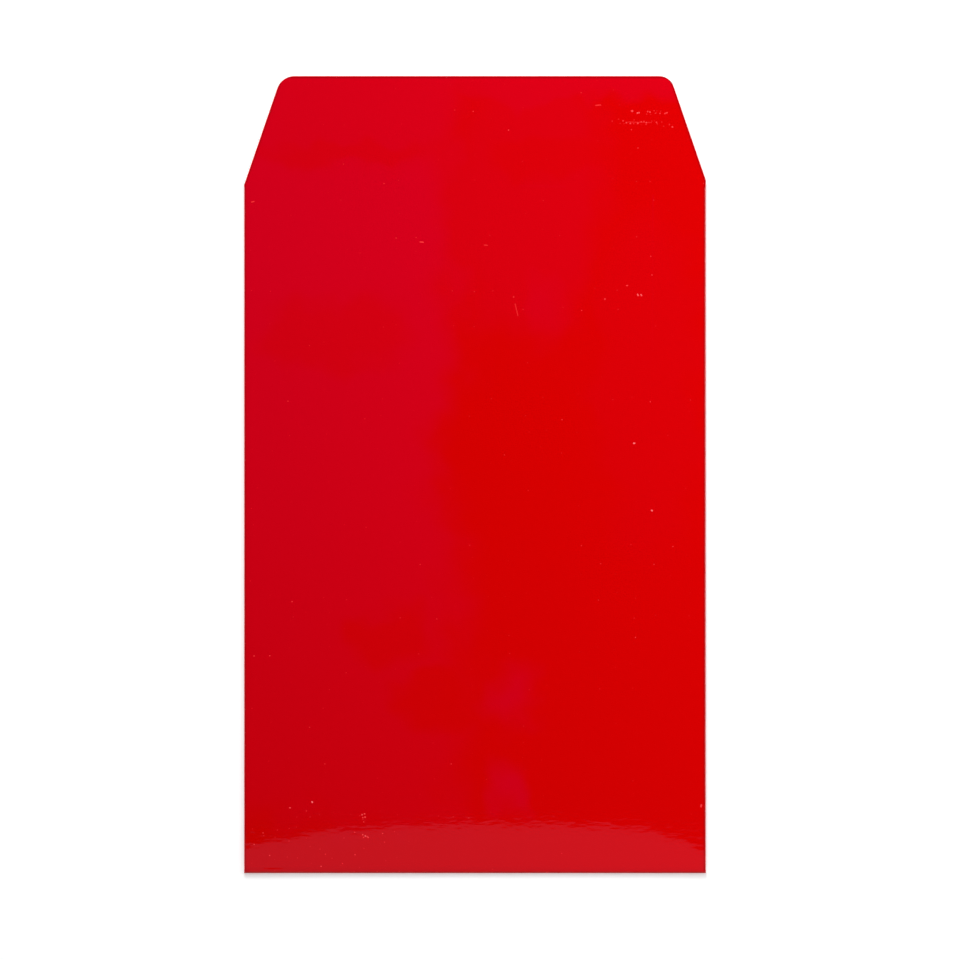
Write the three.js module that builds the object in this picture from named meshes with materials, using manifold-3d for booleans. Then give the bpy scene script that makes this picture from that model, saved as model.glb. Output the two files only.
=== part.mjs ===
// A cardboard mailing envelope, lying face up with its closure flap open.
// Millimetres. X runs across the envelope, Y from the bottom fold to the flap's tip, Z up from the table.
// The origin is under the middle of the whole outline, on the outer face of the back panel.
// One creased blank makes all the board: front panel, side folds, seam tabs, bottom fold, back panel and flap.

import * as THREE from 'three';
import { mergeVertices } from 'three/addons/utils/BufferGeometryUtils.js';
import Module from 'manifold-3d';

// Board
const boardThickness = 0.45;

// Envelope body, folded flat
const envelopeWidth = 152.8;
const bodyLength = 228.6; // outside of the bottom fold to the middle of the flap crease

// Closure flap
const flapLength = 35.2; // middle of the crease to the tip
const flapInset = 12.1; // how far each slanted side has drawn in where it would meet the tip
const flapCornerRadius = 5.5;

// Flap crease: the scored band that bends when the flap closes
const creaseBandWidth = 1.8;
const creaseBeadWidth = 1.1;
const creaseBeadHeight = 0.16;
const creaseGrooveWidth = 0.8;
const creaseGrooveDepth = 0.05;
const closedFlapGap = 0.15; // between the closed flap and the back panel, beside the crease

// Back panel, folded up from the bottom and glued over the seam tabs
const backPanelInset = 1.2; // its side edges lie this far inside the side folds
const backPanelTrimLength = 6; // along each bottom corner, where it narrows from the full width
const mouthSetback = 2; // mouth edge to the middle of the flap crease
const mouthCornerRun = 7; // the mouth's corners are cut off on a slant, this far along the edge
const mouthCornerDrop = 3; // and this far down the side

// Seam tabs, folded in from the sides of the front panel
const tabWidth = 16;
const tabMitreRun = 3.6; // each end slants back this far from the fold to the tab's inner edge
const tabCornerRadius = 1.5;
const tabReliefAtBottom = 0.6; // the side folds start this far above the bottom fold
const sideFoldSetback = 1.6; // and end this far below the middle of the flap crease

// Seam glue: two pressed lines of glue on each tab
const glueThickness = 0.05;
const glueLineWidth = 3;
const glueEdgeMargin = 2.5; // from a glue line to the nearest edge of the board

// Closure adhesive on the flap's inner face, under its release liner
const adhesiveThickness = 0.08;
const adhesiveWidth = 10;
const adhesiveTipMargin = 5; // flap tip to the adhesive
const linerThickness = 0.08;
const linerClearance = 0.02; // between the adhesive and the liner that peels off it
const linerOverhang = 1.5; // liner past the adhesive along its long edges and at its left end
const linerLiftLength = 8; // dry end of the liner that fingers pull, past the adhesive's right end
const linerSideMargin = 2.5; // liner's ends to the slanted sides of the flap
const linerCornerRadius = 1;

// Steps in a quarter turn, and in half a wave of the crease
const quarterTurnSteps = 8;
const waveSteps = 10;

// Heights of the layers, from the back panel's outer face up
const glueBase = boardThickness;
const tabBase = glueBase + glueThickness;
const frontBase = tabBase + boardThickness;
const totalThickness = frontBase + boardThickness;

// Places along Y
const bottomY = -(bodyLength + flapLength) / 2;
const creaseY = bottomY + bodyLength;
const tipY = creaseY + flapLength;
const bottomFoldRadius = totalThickness / 2;
const panelStartY = bottomY + bottomFoldRadius;
const creaseStartY = creaseY - creaseBandWidth / 2;
const creaseEndY = creaseY + creaseBandWidth / 2;
const sideFoldStartY = panelStartY + tabReliefAtBottom;
const sideFoldEndY = creaseY - sideFoldSetback;
const mouthY = creaseY - mouthSetback;

// Places along X
const halfWidth = envelopeWidth / 2;
const sideFoldX = halfWidth - boardThickness; // where the side folds leave the flat board
const backPanelX = halfWidth - backPanelInset;
const tabInnerX = sideFoldX - tabWidth;

// The hinge axis lies half way between the open flap's inner face and where that face lies when closed
const hingeZ = (frontBase - closedFlapGap) / 2;

/** Half the blank's width at a place along Y: full up to the crease, then drawing in to the tip. */
function halfWidthAt(y) {
  return halfWidth - Math.max(0, y - creaseY) * (flapInset / flapLength);
}

const manifold = await Module();
manifold.setup();

/** A closed geometry as a solid that can be cut. */
function toSolid(geometry) {
  const bare = geometry.clone();
  bare.deleteAttribute('normal');
  bare.deleteAttribute('uv');
  const merged = mergeVertices(bare);
  return new manifold.Manifold(
    new manifold.Mesh({
      numProp: 3,
      vertProperties: new Float32Array(merged.attributes.position.array),
      triVerts: new Uint32Array(merged.index.array),
    }),
  );
}

/** A cut solid as a geometry again. */
function toGeometry(solid) {
  const mesh = solid.getMesh();
  const geometry = new THREE.BufferGeometry();
  geometry.setAttribute('position', new THREE.BufferAttribute(mesh.vertProperties, 3));
  geometry.setIndex(new THREE.BufferAttribute(mesh.triVerts, 1));
  geometry.computeVertexNormals();
  return geometry;
}

/** A flat outline in X and Y, given a thickness upwards. */
function sheetFrom(outline, thickness) {
  return new THREE.ExtrudeGeometry(outline, {
    depth: thickness,
    bevelEnabled: false,
    curveSegments: quarterTurnSteps,
  });
}

/** A section drawn in Y and Z, run along X over a length and centred on X = 0. */
function runAcross(section, length) {
  const geometry = sheetFrom(section, length);
  geometry.translate(0, 0, -length / 2);
  const turn = new THREE.Matrix4().makeBasis(
    new THREE.Vector3(0, 1, 0),
    new THREE.Vector3(0, 0, 1),
    new THREE.Vector3(1, 0, 0),
  );
  return geometry.applyMatrix4(turn);
}

/** A section drawn in Z and X, run along +Y over a length from Y = 0. */
function runAlong(section, length) {
  const turn = new THREE.Matrix4().makeBasis(
    new THREE.Vector3(0, 0, 1),
    new THREE.Vector3(1, 0, 0),
    new THREE.Vector3(0, 1, 0),
  );
  return sheetFrom(section, length).applyMatrix4(turn);
}

/** The arc that rounds a corner between the points before and after it. */
function cornerArc(before, corner, after) {
  const towardsBefore = before.clone().sub(corner.point).normalize();
  const towardsAfter = after.clone().sub(corner.point).normalize();
  const halfAngle = Math.acos(towardsBefore.dot(towardsAfter)) / 2;
  const tangent = corner.radius / Math.tan(halfAngle);
  const bisector = towardsBefore.clone().add(towardsAfter).normalize();
  const centre = corner.point.clone().addScaledVector(bisector, corner.radius / Math.sin(halfAngle));
  const start = corner.point.clone().addScaledVector(towardsBefore, tangent);
  const end = corner.point.clone().addScaledVector(towardsAfter, tangent);
  return { centre, start, end };
}

/** A closed outline through corners that each carry a radius, 0 for a sharp one. */
function roundedOutline(corners) {
  const outline = new THREE.Shape();
  corners.forEach((corner, index) => {
    const before = corners[(index + corners.length - 1) % corners.length].point;
    const after = corners[(index + 1) % corners.length].point;
    const arc = corner.radius > 0 ? cornerArc(before, corner, after) : null;
    const start = arc ? arc.start : corner.point;
    if (index === 0) outline.moveTo(start.x, start.y);
    else outline.lineTo(start.x, start.y);
    if (!arc) return;
    const startAngle = Math.atan2(arc.start.y - arc.centre.y, arc.start.x - arc.centre.x);
    const endAngle = Math.atan2(arc.end.y - arc.centre.y, arc.end.x - arc.centre.x);
    outline.absarc(arc.centre.x, arc.centre.y, corner.radius, startAngle, endAngle, false);
  });
  outline.closePath();
  return outline;
}

/** One corner of an outline, walked anticlockwise. */
function corner(x, y, radius = 0) {
  return { point: new THREE.Vector2(x, y), radius };
}

/** Front panel: full width at its ends, and stepped in along the side folds by the board's thickness. */
function frontPanel() {
  const outline = roundedOutline([
    corner(-halfWidth, panelStartY),
    corner(halfWidth, panelStartY),
    corner(halfWidth, sideFoldStartY),
    corner(sideFoldX, sideFoldStartY),
    corner(sideFoldX, sideFoldEndY),
    corner(halfWidth, sideFoldEndY),
    corner(halfWidth, creaseStartY),
    corner(-halfWidth, creaseStartY),
    corner(-halfWidth, sideFoldEndY),
    corner(-sideFoldX, sideFoldEndY),
    corner(-sideFoldX, sideFoldStartY),
    corner(-halfWidth, sideFoldStartY),
  ]);
  return sheetFrom(outline, boardThickness);
}

/** Back panel: full width at the bottom fold, narrowing to clear the side folds, with cut mouth corners. */
function backPanel() {
  const outline = roundedOutline([
    corner(-halfWidth, panelStartY),
    corner(halfWidth, panelStartY),
    corner(backPanelX, panelStartY + backPanelTrimLength),
    corner(backPanelX, mouthY - mouthCornerDrop),
    corner(backPanelX - mouthCornerRun, mouthY),
    corner(-backPanelX + mouthCornerRun, mouthY),
    corner(-backPanelX, mouthY - mouthCornerDrop),
    corner(-backPanelX, panelStartY + backPanelTrimLength),
  ]);
  return sheetFrom(outline, boardThickness);
}

/** Bottom fold: the board bent half way round, from the back panel up to the front panel. */
function bottomFold() {
  const section = new THREE.Shape();
  const innerRadius = bottomFoldRadius - boardThickness;
  section.moveTo(0, bottomFoldRadius);
  section.absarc(0, 0, bottomFoldRadius, Math.PI / 2, (3 * Math.PI) / 2, false);
  section.lineTo(0, -innerRadius);
  section.absarc(0, 0, innerRadius, (3 * Math.PI) / 2, Math.PI / 2, true);
  section.closePath();
  return runAcross(section, envelopeWidth);
}

/** Side fold on the right: the board folded dead flat on itself, so only its round back shows. */
function sideFold() {
  const section = new THREE.Shape();
  section.moveTo(-boardThickness, 0);
  section.lineTo(boardThickness, 0);
  section.absarc(0, 0, boardThickness, 0, Math.PI, false);
  section.closePath();
  return runAlong(section, sideFoldEndY - sideFoldStartY);
}

/** Seam tab on the right, seen from above: its ends slant back from the fold to the inner edge. */
function seamTab() {
  const length = sideFoldEndY - sideFoldStartY;
  const outline = roundedOutline([
    corner(0, 0),
    corner(0, length),
    corner(-tabWidth, length - tabMitreRun, tabCornerRadius),
    corner(-tabWidth, tabMitreRun, tabCornerRadius),
  ]);
  return sheetFrom(outline, boardThickness);
}

/** One pressed glue line with round ends, centred on its own middle. */
function glueLine() {
  const length = sideFoldEndY - sideFoldStartY - 2 * (tabMitreRun + glueEdgeMargin);
  const endRadius = glueLineWidth / 2;
  const straight = length / 2 - endRadius;
  const outline = new THREE.Shape();
  outline.moveTo(endRadius, -straight);
  outline.lineTo(endRadius, straight);
  outline.absarc(0, straight, endRadius, 0, Math.PI, false);
  outline.lineTo(-endRadius, -straight);
  outline.absarc(0, -straight, endRadius, Math.PI, 2 * Math.PI, false);
  outline.closePath();
  return sheetFrom(outline, glueThickness);
}

/** Height of a raised-cosine swelling at a distance from its middle. */
function swelling(distance, width, height) {
  if (Math.abs(distance) >= width / 2) return 0;
  return (height / 2) * (1 + Math.cos((2 * Math.PI * distance) / width));
}

/** Flap crease: scored from outside, so a groove runs over a bead, and cut to the blank's outline. */
function flapCrease() {
  const section = new THREE.Shape();
  const halfBand = creaseBandWidth / 2;
  section.moveTo(-halfBand, 0);
  for (let step = 0; step <= waveSteps; step += 1) {
    const y = creaseBeadWidth * (step / waveSteps - 0.5);
    section.lineTo(y, -swelling(y, creaseBeadWidth, creaseBeadHeight));
  }
  section.lineTo(halfBand, 0);
  section.lineTo(halfBand, boardThickness);
  for (let step = 0; step <= waveSteps; step += 1) {
    const y = creaseGrooveWidth * (0.5 - step / waveSteps);
    section.lineTo(y, boardThickness - swelling(y, creaseGrooveWidth, creaseGrooveDepth));
  }
  section.lineTo(-halfBand, boardThickness);
  section.closePath();

  const cutOutline = roundedOutline([
    corner(-halfWidth, -creaseBandWidth),
    corner(halfWidth, -creaseBandWidth),
    corner(halfWidth, 0),
    corner(halfWidthAt(creaseEndY), halfBand),
    corner(halfWidthAt(creaseY + creaseBandWidth), creaseBandWidth),
    corner(-halfWidthAt(creaseY + creaseBandWidth), creaseBandWidth),
    corner(-halfWidthAt(creaseEndY), halfBand),
    corner(-halfWidth, 0),
  ]);
  const cutHeight = 2 * (boardThickness + creaseBeadHeight);
  const cutter = sheetFrom(cutOutline, cutHeight).translate(0, 0, -creaseBeadHeight - boardThickness / 2);
  const band = runAcross(section, envelopeWidth + creaseBandWidth);
  return toGeometry(toSolid(band).intersect(toSolid(cutter)));
}

/** Closure flap from the crease to the tip, with slanted sides and rounded tip corners. */
function closureFlap() {
  const rootX = halfWidthAt(creaseEndY);
  const tipX = halfWidthAt(tipY);
  const outline = roundedOutline([
    corner(-rootX, creaseBandWidth / 2),
    corner(rootX, creaseBandWidth / 2),
    corner(tipX, flapLength, flapCornerRadius),
    corner(-tipX, flapLength, flapCornerRadius),
  ]);
  return sheetFrom(outline, boardThickness);
}

// The adhesive and its liner along the flap, measured from the crease
const adhesiveOuterY = flapLength - adhesiveTipMargin;
const adhesiveMiddleY = adhesiveOuterY - adhesiveWidth / 2;
const linerHalfWidth = adhesiveWidth / 2 + linerOverhang;
const linerHalfLength = halfWidthAt(creaseY + adhesiveMiddleY + linerHalfWidth) - linerSideMargin;
const adhesiveLeftX = -linerHalfLength + linerOverhang;
const adhesiveRightX = linerHalfLength - linerLiftLength;

/** Pressure-sensitive adhesive, a thin band centred on its own middle. */
function adhesiveStrip() {
  const halfLength = (adhesiveRightX - adhesiveLeftX) / 2;
  const outline = roundedOutline([
    corner(-halfLength, -adhesiveWidth / 2),
    corner(halfLength, -adhesiveWidth / 2),
    corner(halfLength, adhesiveWidth / 2),
    corner(-halfLength, adhesiveWidth / 2),
  ]);
  return sheetFrom(outline, adhesiveThickness);
}

/** Release liner, wider and longer than the adhesive that it covers. */
function releaseLiner() {
  const outline = roundedOutline([
    corner(-linerHalfLength, -linerHalfWidth, linerCornerRadius),
    corner(linerHalfLength, -linerHalfWidth, linerCornerRadius),
    corner(linerHalfLength, linerHalfWidth, linerCornerRadius),
    corner(-linerHalfLength, linerHalfWidth, linerCornerRadius),
  ]);
  return sheetFrom(outline, linerThickness);
}

/** Red gloss board, given a new material for each piece. */
function glossBoard() {
  return new THREE.MeshStandardMaterial({ color: 0xcf0008, roughness: 0.25, metalness: 0 });
}

/** Dried seam glue. */
function driedGlue() {
  return new THREE.MeshStandardMaterial({ color: 0xd9cfa8, roughness: 0.5, metalness: 0 });
}

/** Clear tacky adhesive. */
function tackyAdhesive() {
  return new THREE.MeshStandardMaterial({ color: 0xe6dcb4, roughness: 0.15, metalness: 0 });
}

/** Siliconed release paper. */
function releasePaper() {
  return new THREE.MeshStandardMaterial({ color: 0xf2f0ea, roughness: 0.4, metalness: 0 });
}

/** A named mesh at a place. */
function piece(name, geometry, material, x, y, z) {
  const mesh = new THREE.Mesh(geometry, material);
  mesh.name = name;
  mesh.position.set(x, y, z);
  return mesh;
}

const envelope = new THREE.Group();

const body = new THREE.Group();
body.add(piece('back_panel', backPanel(), glossBoard(), 0, 0, 0));
body.add(piece('bottom_fold', bottomFold(), glossBoard(), 0, panelStartY, bottomFoldRadius));
body.add(piece('front_panel', frontPanel(), glossBoard(), 0, 0, frontBase));
body.add(piece('flap_crease', flapCrease(), glossBoard(), 0, creaseY, frontBase));
envelope.add(body);

// The two seams are alike, and the left one is the right one turned half way round about Z
const seamMiddleY = (sideFoldStartY + sideFoldEndY) / 2;
const seams = [
  { side: 'right', turn: 0 },
  { side: 'left', turn: Math.PI },
];
const outerGlueX = backPanelX - glueEdgeMargin - glueLineWidth / 2;
const innerGlueX = tabInnerX + glueEdgeMargin + glueLineWidth / 2;
for (const { side, turn } of seams) {
  const seam = new THREE.Group();
  seam.position.set(0, seamMiddleY, 0);
  seam.rotation.z = turn;
  const startY = sideFoldStartY - seamMiddleY;
  seam.add(piece(`${side}_side_fold`, sideFold(), glossBoard(), sideFoldX, startY, frontBase));
  seam.add(piece(`${side}_seam_tab`, seamTab(), glossBoard(), sideFoldX, startY, tabBase));
  seam.add(piece(`${side}_outer_glue_line`, glueLine(), driedGlue(), outerGlueX, 0, glueBase));
  seam.add(piece(`${side}_inner_glue_line`, glueLine(), driedGlue(), innerGlueX, 0, glueBase));
  envelope.add(seam);
}

// The flap and what it carries are placed from the hinge axis that the flap turns about
const flap = new THREE.Group();
flap.position.set(0, creaseY, hingeZ);
const flapInnerZ = frontBase - hingeZ;
const adhesiveBase = flapInnerZ - adhesiveThickness;
const linerBase = adhesiveBase - linerClearance - linerThickness;
const adhesiveMiddleX = (adhesiveLeftX + adhesiveRightX) / 2;
flap.add(piece('closure_flap', closureFlap(), glossBoard(), 0, 0, flapInnerZ));
flap.add(
  piece('flap_adhesive_strip', adhesiveStrip(), tackyAdhesive(), adhesiveMiddleX, adhesiveMiddleY, adhesiveBase),
);
flap.add(piece('release_liner', releaseLiner(), releasePaper(), 0, adhesiveMiddleY, linerBase));
envelope.add(flap);

export default envelope;
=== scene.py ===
"""Red gloss cardboard mailing envelope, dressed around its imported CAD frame.

Metres, in the CAD's frame: X runs across the envelope, Y from the bottom fold to the tip of the open
flap, and Z up from the table that the back panel lies on.
"""

import logging
import math
from abc import ABC, abstractmethod
from collections.abc import Callable, Sequence
from dataclasses import dataclass, field
from enum import Enum

import bmesh
import bpy
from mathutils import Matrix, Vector, noise


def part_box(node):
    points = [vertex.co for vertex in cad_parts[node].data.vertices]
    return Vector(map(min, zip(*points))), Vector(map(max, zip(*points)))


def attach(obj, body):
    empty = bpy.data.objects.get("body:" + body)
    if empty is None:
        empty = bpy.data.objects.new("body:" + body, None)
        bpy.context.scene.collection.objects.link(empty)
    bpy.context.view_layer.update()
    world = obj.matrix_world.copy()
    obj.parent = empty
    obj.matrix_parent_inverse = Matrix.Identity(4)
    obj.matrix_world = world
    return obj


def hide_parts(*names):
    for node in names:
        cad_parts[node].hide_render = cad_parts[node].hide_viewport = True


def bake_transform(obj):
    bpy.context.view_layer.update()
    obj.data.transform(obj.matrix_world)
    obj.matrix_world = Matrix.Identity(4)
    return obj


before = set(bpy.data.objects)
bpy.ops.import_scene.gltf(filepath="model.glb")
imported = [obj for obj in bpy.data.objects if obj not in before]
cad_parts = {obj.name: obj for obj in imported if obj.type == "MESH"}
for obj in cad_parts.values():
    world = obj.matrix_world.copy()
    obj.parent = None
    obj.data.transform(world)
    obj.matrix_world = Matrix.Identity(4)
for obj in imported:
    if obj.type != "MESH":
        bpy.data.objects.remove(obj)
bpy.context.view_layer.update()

log = logging.getLogger("envelope")

MM = 0.001
QUARTER_TURN = math.pi / 2
SHARP_ANGLE = math.radians(38)
CLOSEST_STATIONS = 1e-3 * MM
NOISE_RANGE = (0.35, 0.65)
REST_PLACE = "rest_place"
BOARD_DEPTH = "board_depth"

Height = Callable[[float, float], float]
Place = tuple[float, float]
Triple = tuple[float, float, float]
Section = tuple[Sequence[Vector], Sequence[Vector]]
Inputs = dict[str | int, object]

BLACK: Triple = (0.0, 0.0, 0.0)
WHITE: Triple = (1.0, 1.0, 1.0)


# Shape helpers


def ramp(value: float, low: float, high: float) -> float:
    """Rise evenly from 0 at low to 1 at high."""
    return min(max((value - low) / (high - low), 0.0), 1.0)


def ease(value: float, low: float, high: float) -> float:
    """Rise smoothly from 0 at low to 1 at high."""
    share = ramp(value, low, high)
    return share * share * (3 - 2 * share)


def spread(start: float, end: float, step: float) -> list[float]:
    """Place even stations from start to end, both among them, with no gap wider than step."""
    count = max(1, math.ceil(abs(end - start) / step))
    return [start + (end - start) * index / count for index in range(count + 1)]


def rounding(steps: int) -> list[float]:
    """Place stations from 0 to 1 that stand at even angles round a corner of radius 1."""
    return [1 - math.cos(QUARTER_TURN * step / steps) for step in range(steps + 1)]


def fold_angles(steps: int) -> list[float]:
    """List the angles of a half turn, from straight up to straight down."""
    return [QUARTER_TURN - math.pi * step / steps for step in range(steps + 1)]


def merged(*runs: Sequence[float]) -> list[float]:
    """Join runs of stations into one rising run.

    Args:
        runs: Runs that may share stations.

    Returns:
        Every station once, in order.
    """
    joined: list[float] = []
    for station in sorted(station for run in runs for station in run):
        if not joined or station - joined[-1] > CLOSEST_STATIONS:
            joined.append(station)
    return joined


def midway(first: Place, second: Place) -> Place:
    """Find the middle between two places."""
    return (first[0] + second[0]) / 2, (first[1] + second[1]) / 2


def level(height: float) -> Height:
    """Make the height function of a flat face."""
    return lambda x, y: height


class Side(Enum):
    """The faces of the board, valued by their place among a piece's materials."""

    OUTER = 0
    INNER = 1
    CUT = 2


@dataclass
class Shell:
    """The vertices and faces of one closed piece, gathered before they become a mesh."""

    points: list[Vector] = field(default_factory=list)
    depths: list[float] = field(default_factory=list)
    faces: list[tuple[int, ...]] = field(default_factory=list)
    sides: list[Side] = field(default_factory=list)
    free_edges: list[tuple[int, int]] = field(default_factory=list)

    def add_point(self, point: Vector, depth: float) -> int:
        """Add a vertex.

        Args:
            point: Its place.
            depth: How deep it lies in the board, from 0 on the inner face to 1 on the outer one.

        Returns:
            Its number.
        """
        self.points.append(point)
        self.depths.append(depth)
        return len(self.points) - 1

    def add_face(self, corners: tuple[int, ...], side: Side) -> None:
        """Add a face by its vertices' numbers, on one side of the board."""
        self.faces.append(corners)
        self.sides.append(side)

    def add_wall(self, corners: tuple[int, int, int, int], joint: bool) -> None:
        """Add a wall between the board's two faces.

        Args:
            corners: Its two lower vertices, then the upper ones on the way back.
            joint: Whether it meets another piece, and so is neither cut board nor softened.
        """
        self.add_face(corners, Side.OUTER if joint else Side.CUT)
        if not joint:
            low_start, low_end, high_end, high_start = corners
            self.free_edges += [(low_start, low_end), (high_start, high_end)]

    def build(self, name: str, materials: Sequence[bpy.types.Material], softening: float) -> bpy.types.Object:
        """Turn the shell into an object with soft free edges.

        Args:
            name: The piece's name.
            materials: One material for each side of the board.
            softening: How far the free edges are rounded off.

        Returns:
            The new object, in the scene.
        """
        work = self._gathered()
        self._soften(work, softening)
        bmesh.ops.recalc_face_normals(work, faces=work.faces)
        mesh = bpy.data.meshes.new(name)
        work.to_mesh(mesh)
        work.free()
        mesh.set_sharp_from_angle(angle=SHARP_ANGLE)
        places = mesh.attributes.new(REST_PLACE, "FLOAT_VECTOR", "POINT")
        for vertex in mesh.vertices:
            places.data[vertex.index].vector = vertex.co
        for material in materials:
            mesh.materials.append(material)
        piece = bpy.data.objects.new(name, mesh)
        bpy.context.scene.collection.objects.link(piece)
        return piece

    def _gathered(self) -> bmesh.types.BMesh:
        """Put the vertices and faces together.

        Returns:
            The mesh to work on, which the caller frees.
        """
        work = bmesh.new()
        depth_layer = work.verts.layers.float.new(BOARD_DEPTH)
        vertices = [work.verts.new(point) for point in self.points]
        for vertex, depth in zip(vertices, self.depths):
            vertex[depth_layer] = depth
        for corners, side in zip(self.faces, self.sides):
            face = work.faces.new([vertices[corner] for corner in corners])
            face.material_index = side.value
            face.smooth = True
        work.verts.index_update()
        return work

    def _soften(self, work: bmesh.types.BMesh, softening: float) -> None:
        """Round off the free edges.

        Args:
            work: The mesh to work on.
            softening: How far they are rounded off.
        """
        free = {frozenset(edge) for edge in self.free_edges}
        soft = [edge for edge in work.edges if frozenset(vertex.index for vertex in edge.verts) in free]
        if softening > 0 and soft:
            bmesh.ops.bevel(
                work, geom=soft, offset=softening, offset_type="OFFSET", segments=2, profile=0.5,
                affect="EDGES", clamp_overlap=True, material=-1,
            )


@dataclass
class Plate:
    """A flat piece over a grid of cells, with a wall wherever a cell has no neighbour."""

    rows: Sequence[float]
    columns: Callable[[float], Sequence[float]]
    top: Height
    bottom: Height
    keeps: Callable[[float, float], bool] = lambda x, y: True
    is_joint: Callable[[float, float], bool] = lambda x, y: False
    outer_up: bool = True

    def shell(self) -> Shell:
        """Lay the cells and close them with walls.

        Returns:
            The closed shell.
        """
        shell = Shell()
        grid = [[(x, y) for x in self.columns(y)] for y in self.rows]
        kept = self._kept_cells(grid)
        numbers: dict[tuple[int, int, bool], int] = {}

        def corner(column: int, row: int, upper: bool) -> int:
            """Number the vertex at a grid point, and add it when it is first asked for.

            Args:
                column: The point's column.
                row: The point's row.
                upper: Whether it lies on the top face.

            Returns:
                Its number.
            """
            key = (column, row, upper)
            if key not in numbers:
                x, y = grid[row][column]
                height = self.top(x, y) if upper else self.bottom(x, y)
                numbers[key] = shell.add_point(Vector((x, y, height)), float(upper == self.outer_up))
            return numbers[key]

        upper_side, lower_side = (Side.OUTER, Side.INNER) if self.outer_up else (Side.INNER, Side.OUTER)
        for column, row in sorted(kept):
            ring = [(column, row), (column + 1, row), (column + 1, row + 1), (column, row + 1)]
            shell.add_face(tuple(corner(*point, True) for point in ring), upper_side)
            shell.add_face(tuple(corner(*point, False) for point in reversed(ring)), lower_side)
            neighbours = [(column, row - 1), (column + 1, row), (column, row + 1), (column - 1, row)]
            for start, end, neighbour in zip(ring, ring[1:] + ring[:1], neighbours):
                if neighbour not in kept:
                    middle = midway(grid[start[1]][start[0]], grid[end[1]][end[0]])
                    low, high = [(corner(*start, upper), corner(*end, upper)) for upper in (False, True)]
                    shell.add_wall((*low, *reversed(high)), self.is_joint(*middle))
        return shell

    def _kept_cells(self, grid: Sequence[Sequence[Place]]) -> set[tuple[int, int]]:
        """Pick the cells that belong to the piece.

        Args:
            grid: The points of the grid, row by row.

        Returns:
            The column and row of each kept cell.
        """
        kept = set()
        for row in range(len(grid) - 1):
            for column in range(len(grid[row]) - 1):
                if self.keeps(*midway(grid[row][column], grid[row + 1][column + 1])):
                    kept.add((column, row))
        return kept


@dataclass
class Ribbon:
    """A bent strip of board: at each station, an outer path and an inner one.

    The paths are of equal length and walled in along both ends. In a solid strip the inner path holds
    only the points between the ends, which it shares with the outer one.
    """

    stations: Sequence[Section]
    solid: bool = False

    def shell(self) -> Shell:
        """Skin the stations, and close the strip's long edges and its two ends.

        Returns:
            The closed shell.
        """
        shell = Shell()
        outer = [[shell.add_point(point, 1.0) for point in path] for path, _ in self.stations]
        inner = [[shell.add_point(point, 0.0) for point in path] for _, path in self.stations]
        if self.solid:
            inner = [[whole[0], *between, whole[-1]] for whole, between in zip(outer, inner)]
        skins = ((outer, Side.OUTER), (inner, Side.OUTER if self.solid else Side.INNER))
        steps = range(len(outer[0]) - 1)
        for near in range(len(outer) - 1):
            far = near + 1
            for step in steps:
                for path, side in skins:
                    quad = (path[near][step], path[far][step], path[far][step + 1], path[near][step + 1])
                    shell.add_face(quad, side)
            for step in () if self.solid else (0, -1):
                wall = (outer[near][step], outer[far][step], inner[far][step], inner[near][step])
                shell.add_face(wall, Side.OUTER)
        for end in (0, -1):
            for step in steps:
                cap = (outer[end][step], outer[end][step + 1], inner[end][step + 1], inner[end][step])
                shell.add_face(tuple(dict.fromkeys(cap)), Side.CUT)
        return shell


# The blank and how it lies


@dataclass(frozen=True)
class Layout:
    """Places that the pieces share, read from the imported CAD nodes."""

    half_width: float
    bottom_y: float
    panel_start_y: float
    side_x: float
    side_start_y: float
    side_end_y: float
    crease_start_y: float
    crease_end_y: float
    tip_y: float
    tip_half_width: float
    mouth_y: float
    tab_inner_x: float
    tab_base: float
    front_base: float
    top: float
    thickness: float
    flap_drift: float = 0.28 * MM

    @classmethod
    def from_frame(cls) -> "Layout":
        """Read the places from the boxes of the CAD nodes.

        Returns:
            The layout.
        """
        panel_low, panel_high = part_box("front_panel")
        fold_low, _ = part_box("bottom_fold")
        side_low, side_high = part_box("right_side_fold")
        tab_low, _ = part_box("right_seam_tab")
        flap_low, flap_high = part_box("closure_flap")
        _, back_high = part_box("back_panel")
        crease_y = (panel_high.y + flap_low.y) / 2
        taper = (panel_high.x - flap_high.x) / (flap_low.y - crease_y)
        return cls(
            half_width=panel_high.x,
            bottom_y=fold_low.y,
            panel_start_y=panel_low.y,
            side_x=side_low.x,
            side_start_y=side_low.y,
            side_end_y=side_high.y,
            crease_start_y=panel_high.y,
            crease_end_y=flap_low.y,
            tip_y=flap_high.y,
            tip_half_width=panel_high.x - taper * (flap_high.y - crease_y),
            mouth_y=back_high.y,
            tab_inner_x=tab_low.x,
            tab_base=tab_low.z,
            front_base=panel_low.z,
            top=panel_high.z,
            thickness=panel_high.z - panel_low.z,
        )

    @property
    def crease_y(self) -> float:
        """Middle of the flap crease."""
        return (self.crease_start_y + self.crease_end_y) / 2

    @property
    def taper(self) -> float:
        """How far each side of the flap draws in for each metre towards the tip."""
        return (self.half_width - self.tip_half_width) / (self.tip_y - self.crease_y)

    def half_width_at(self, y: float, sign: float) -> float:
        """Measure from the middle to the blank's edge, before the flap's corners are rounded.

        Args:
            y: A place along the flap, which was cut a little to the right of the middle.
            sign: -1 for the left edge and 1 for the right one.

        Returns:
            The distance.
        """
        drawn_in = (y - self.crease_y) * self.taper - sign * self.flap_drift
        return self.half_width - max(0.0, drawn_in)


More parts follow.
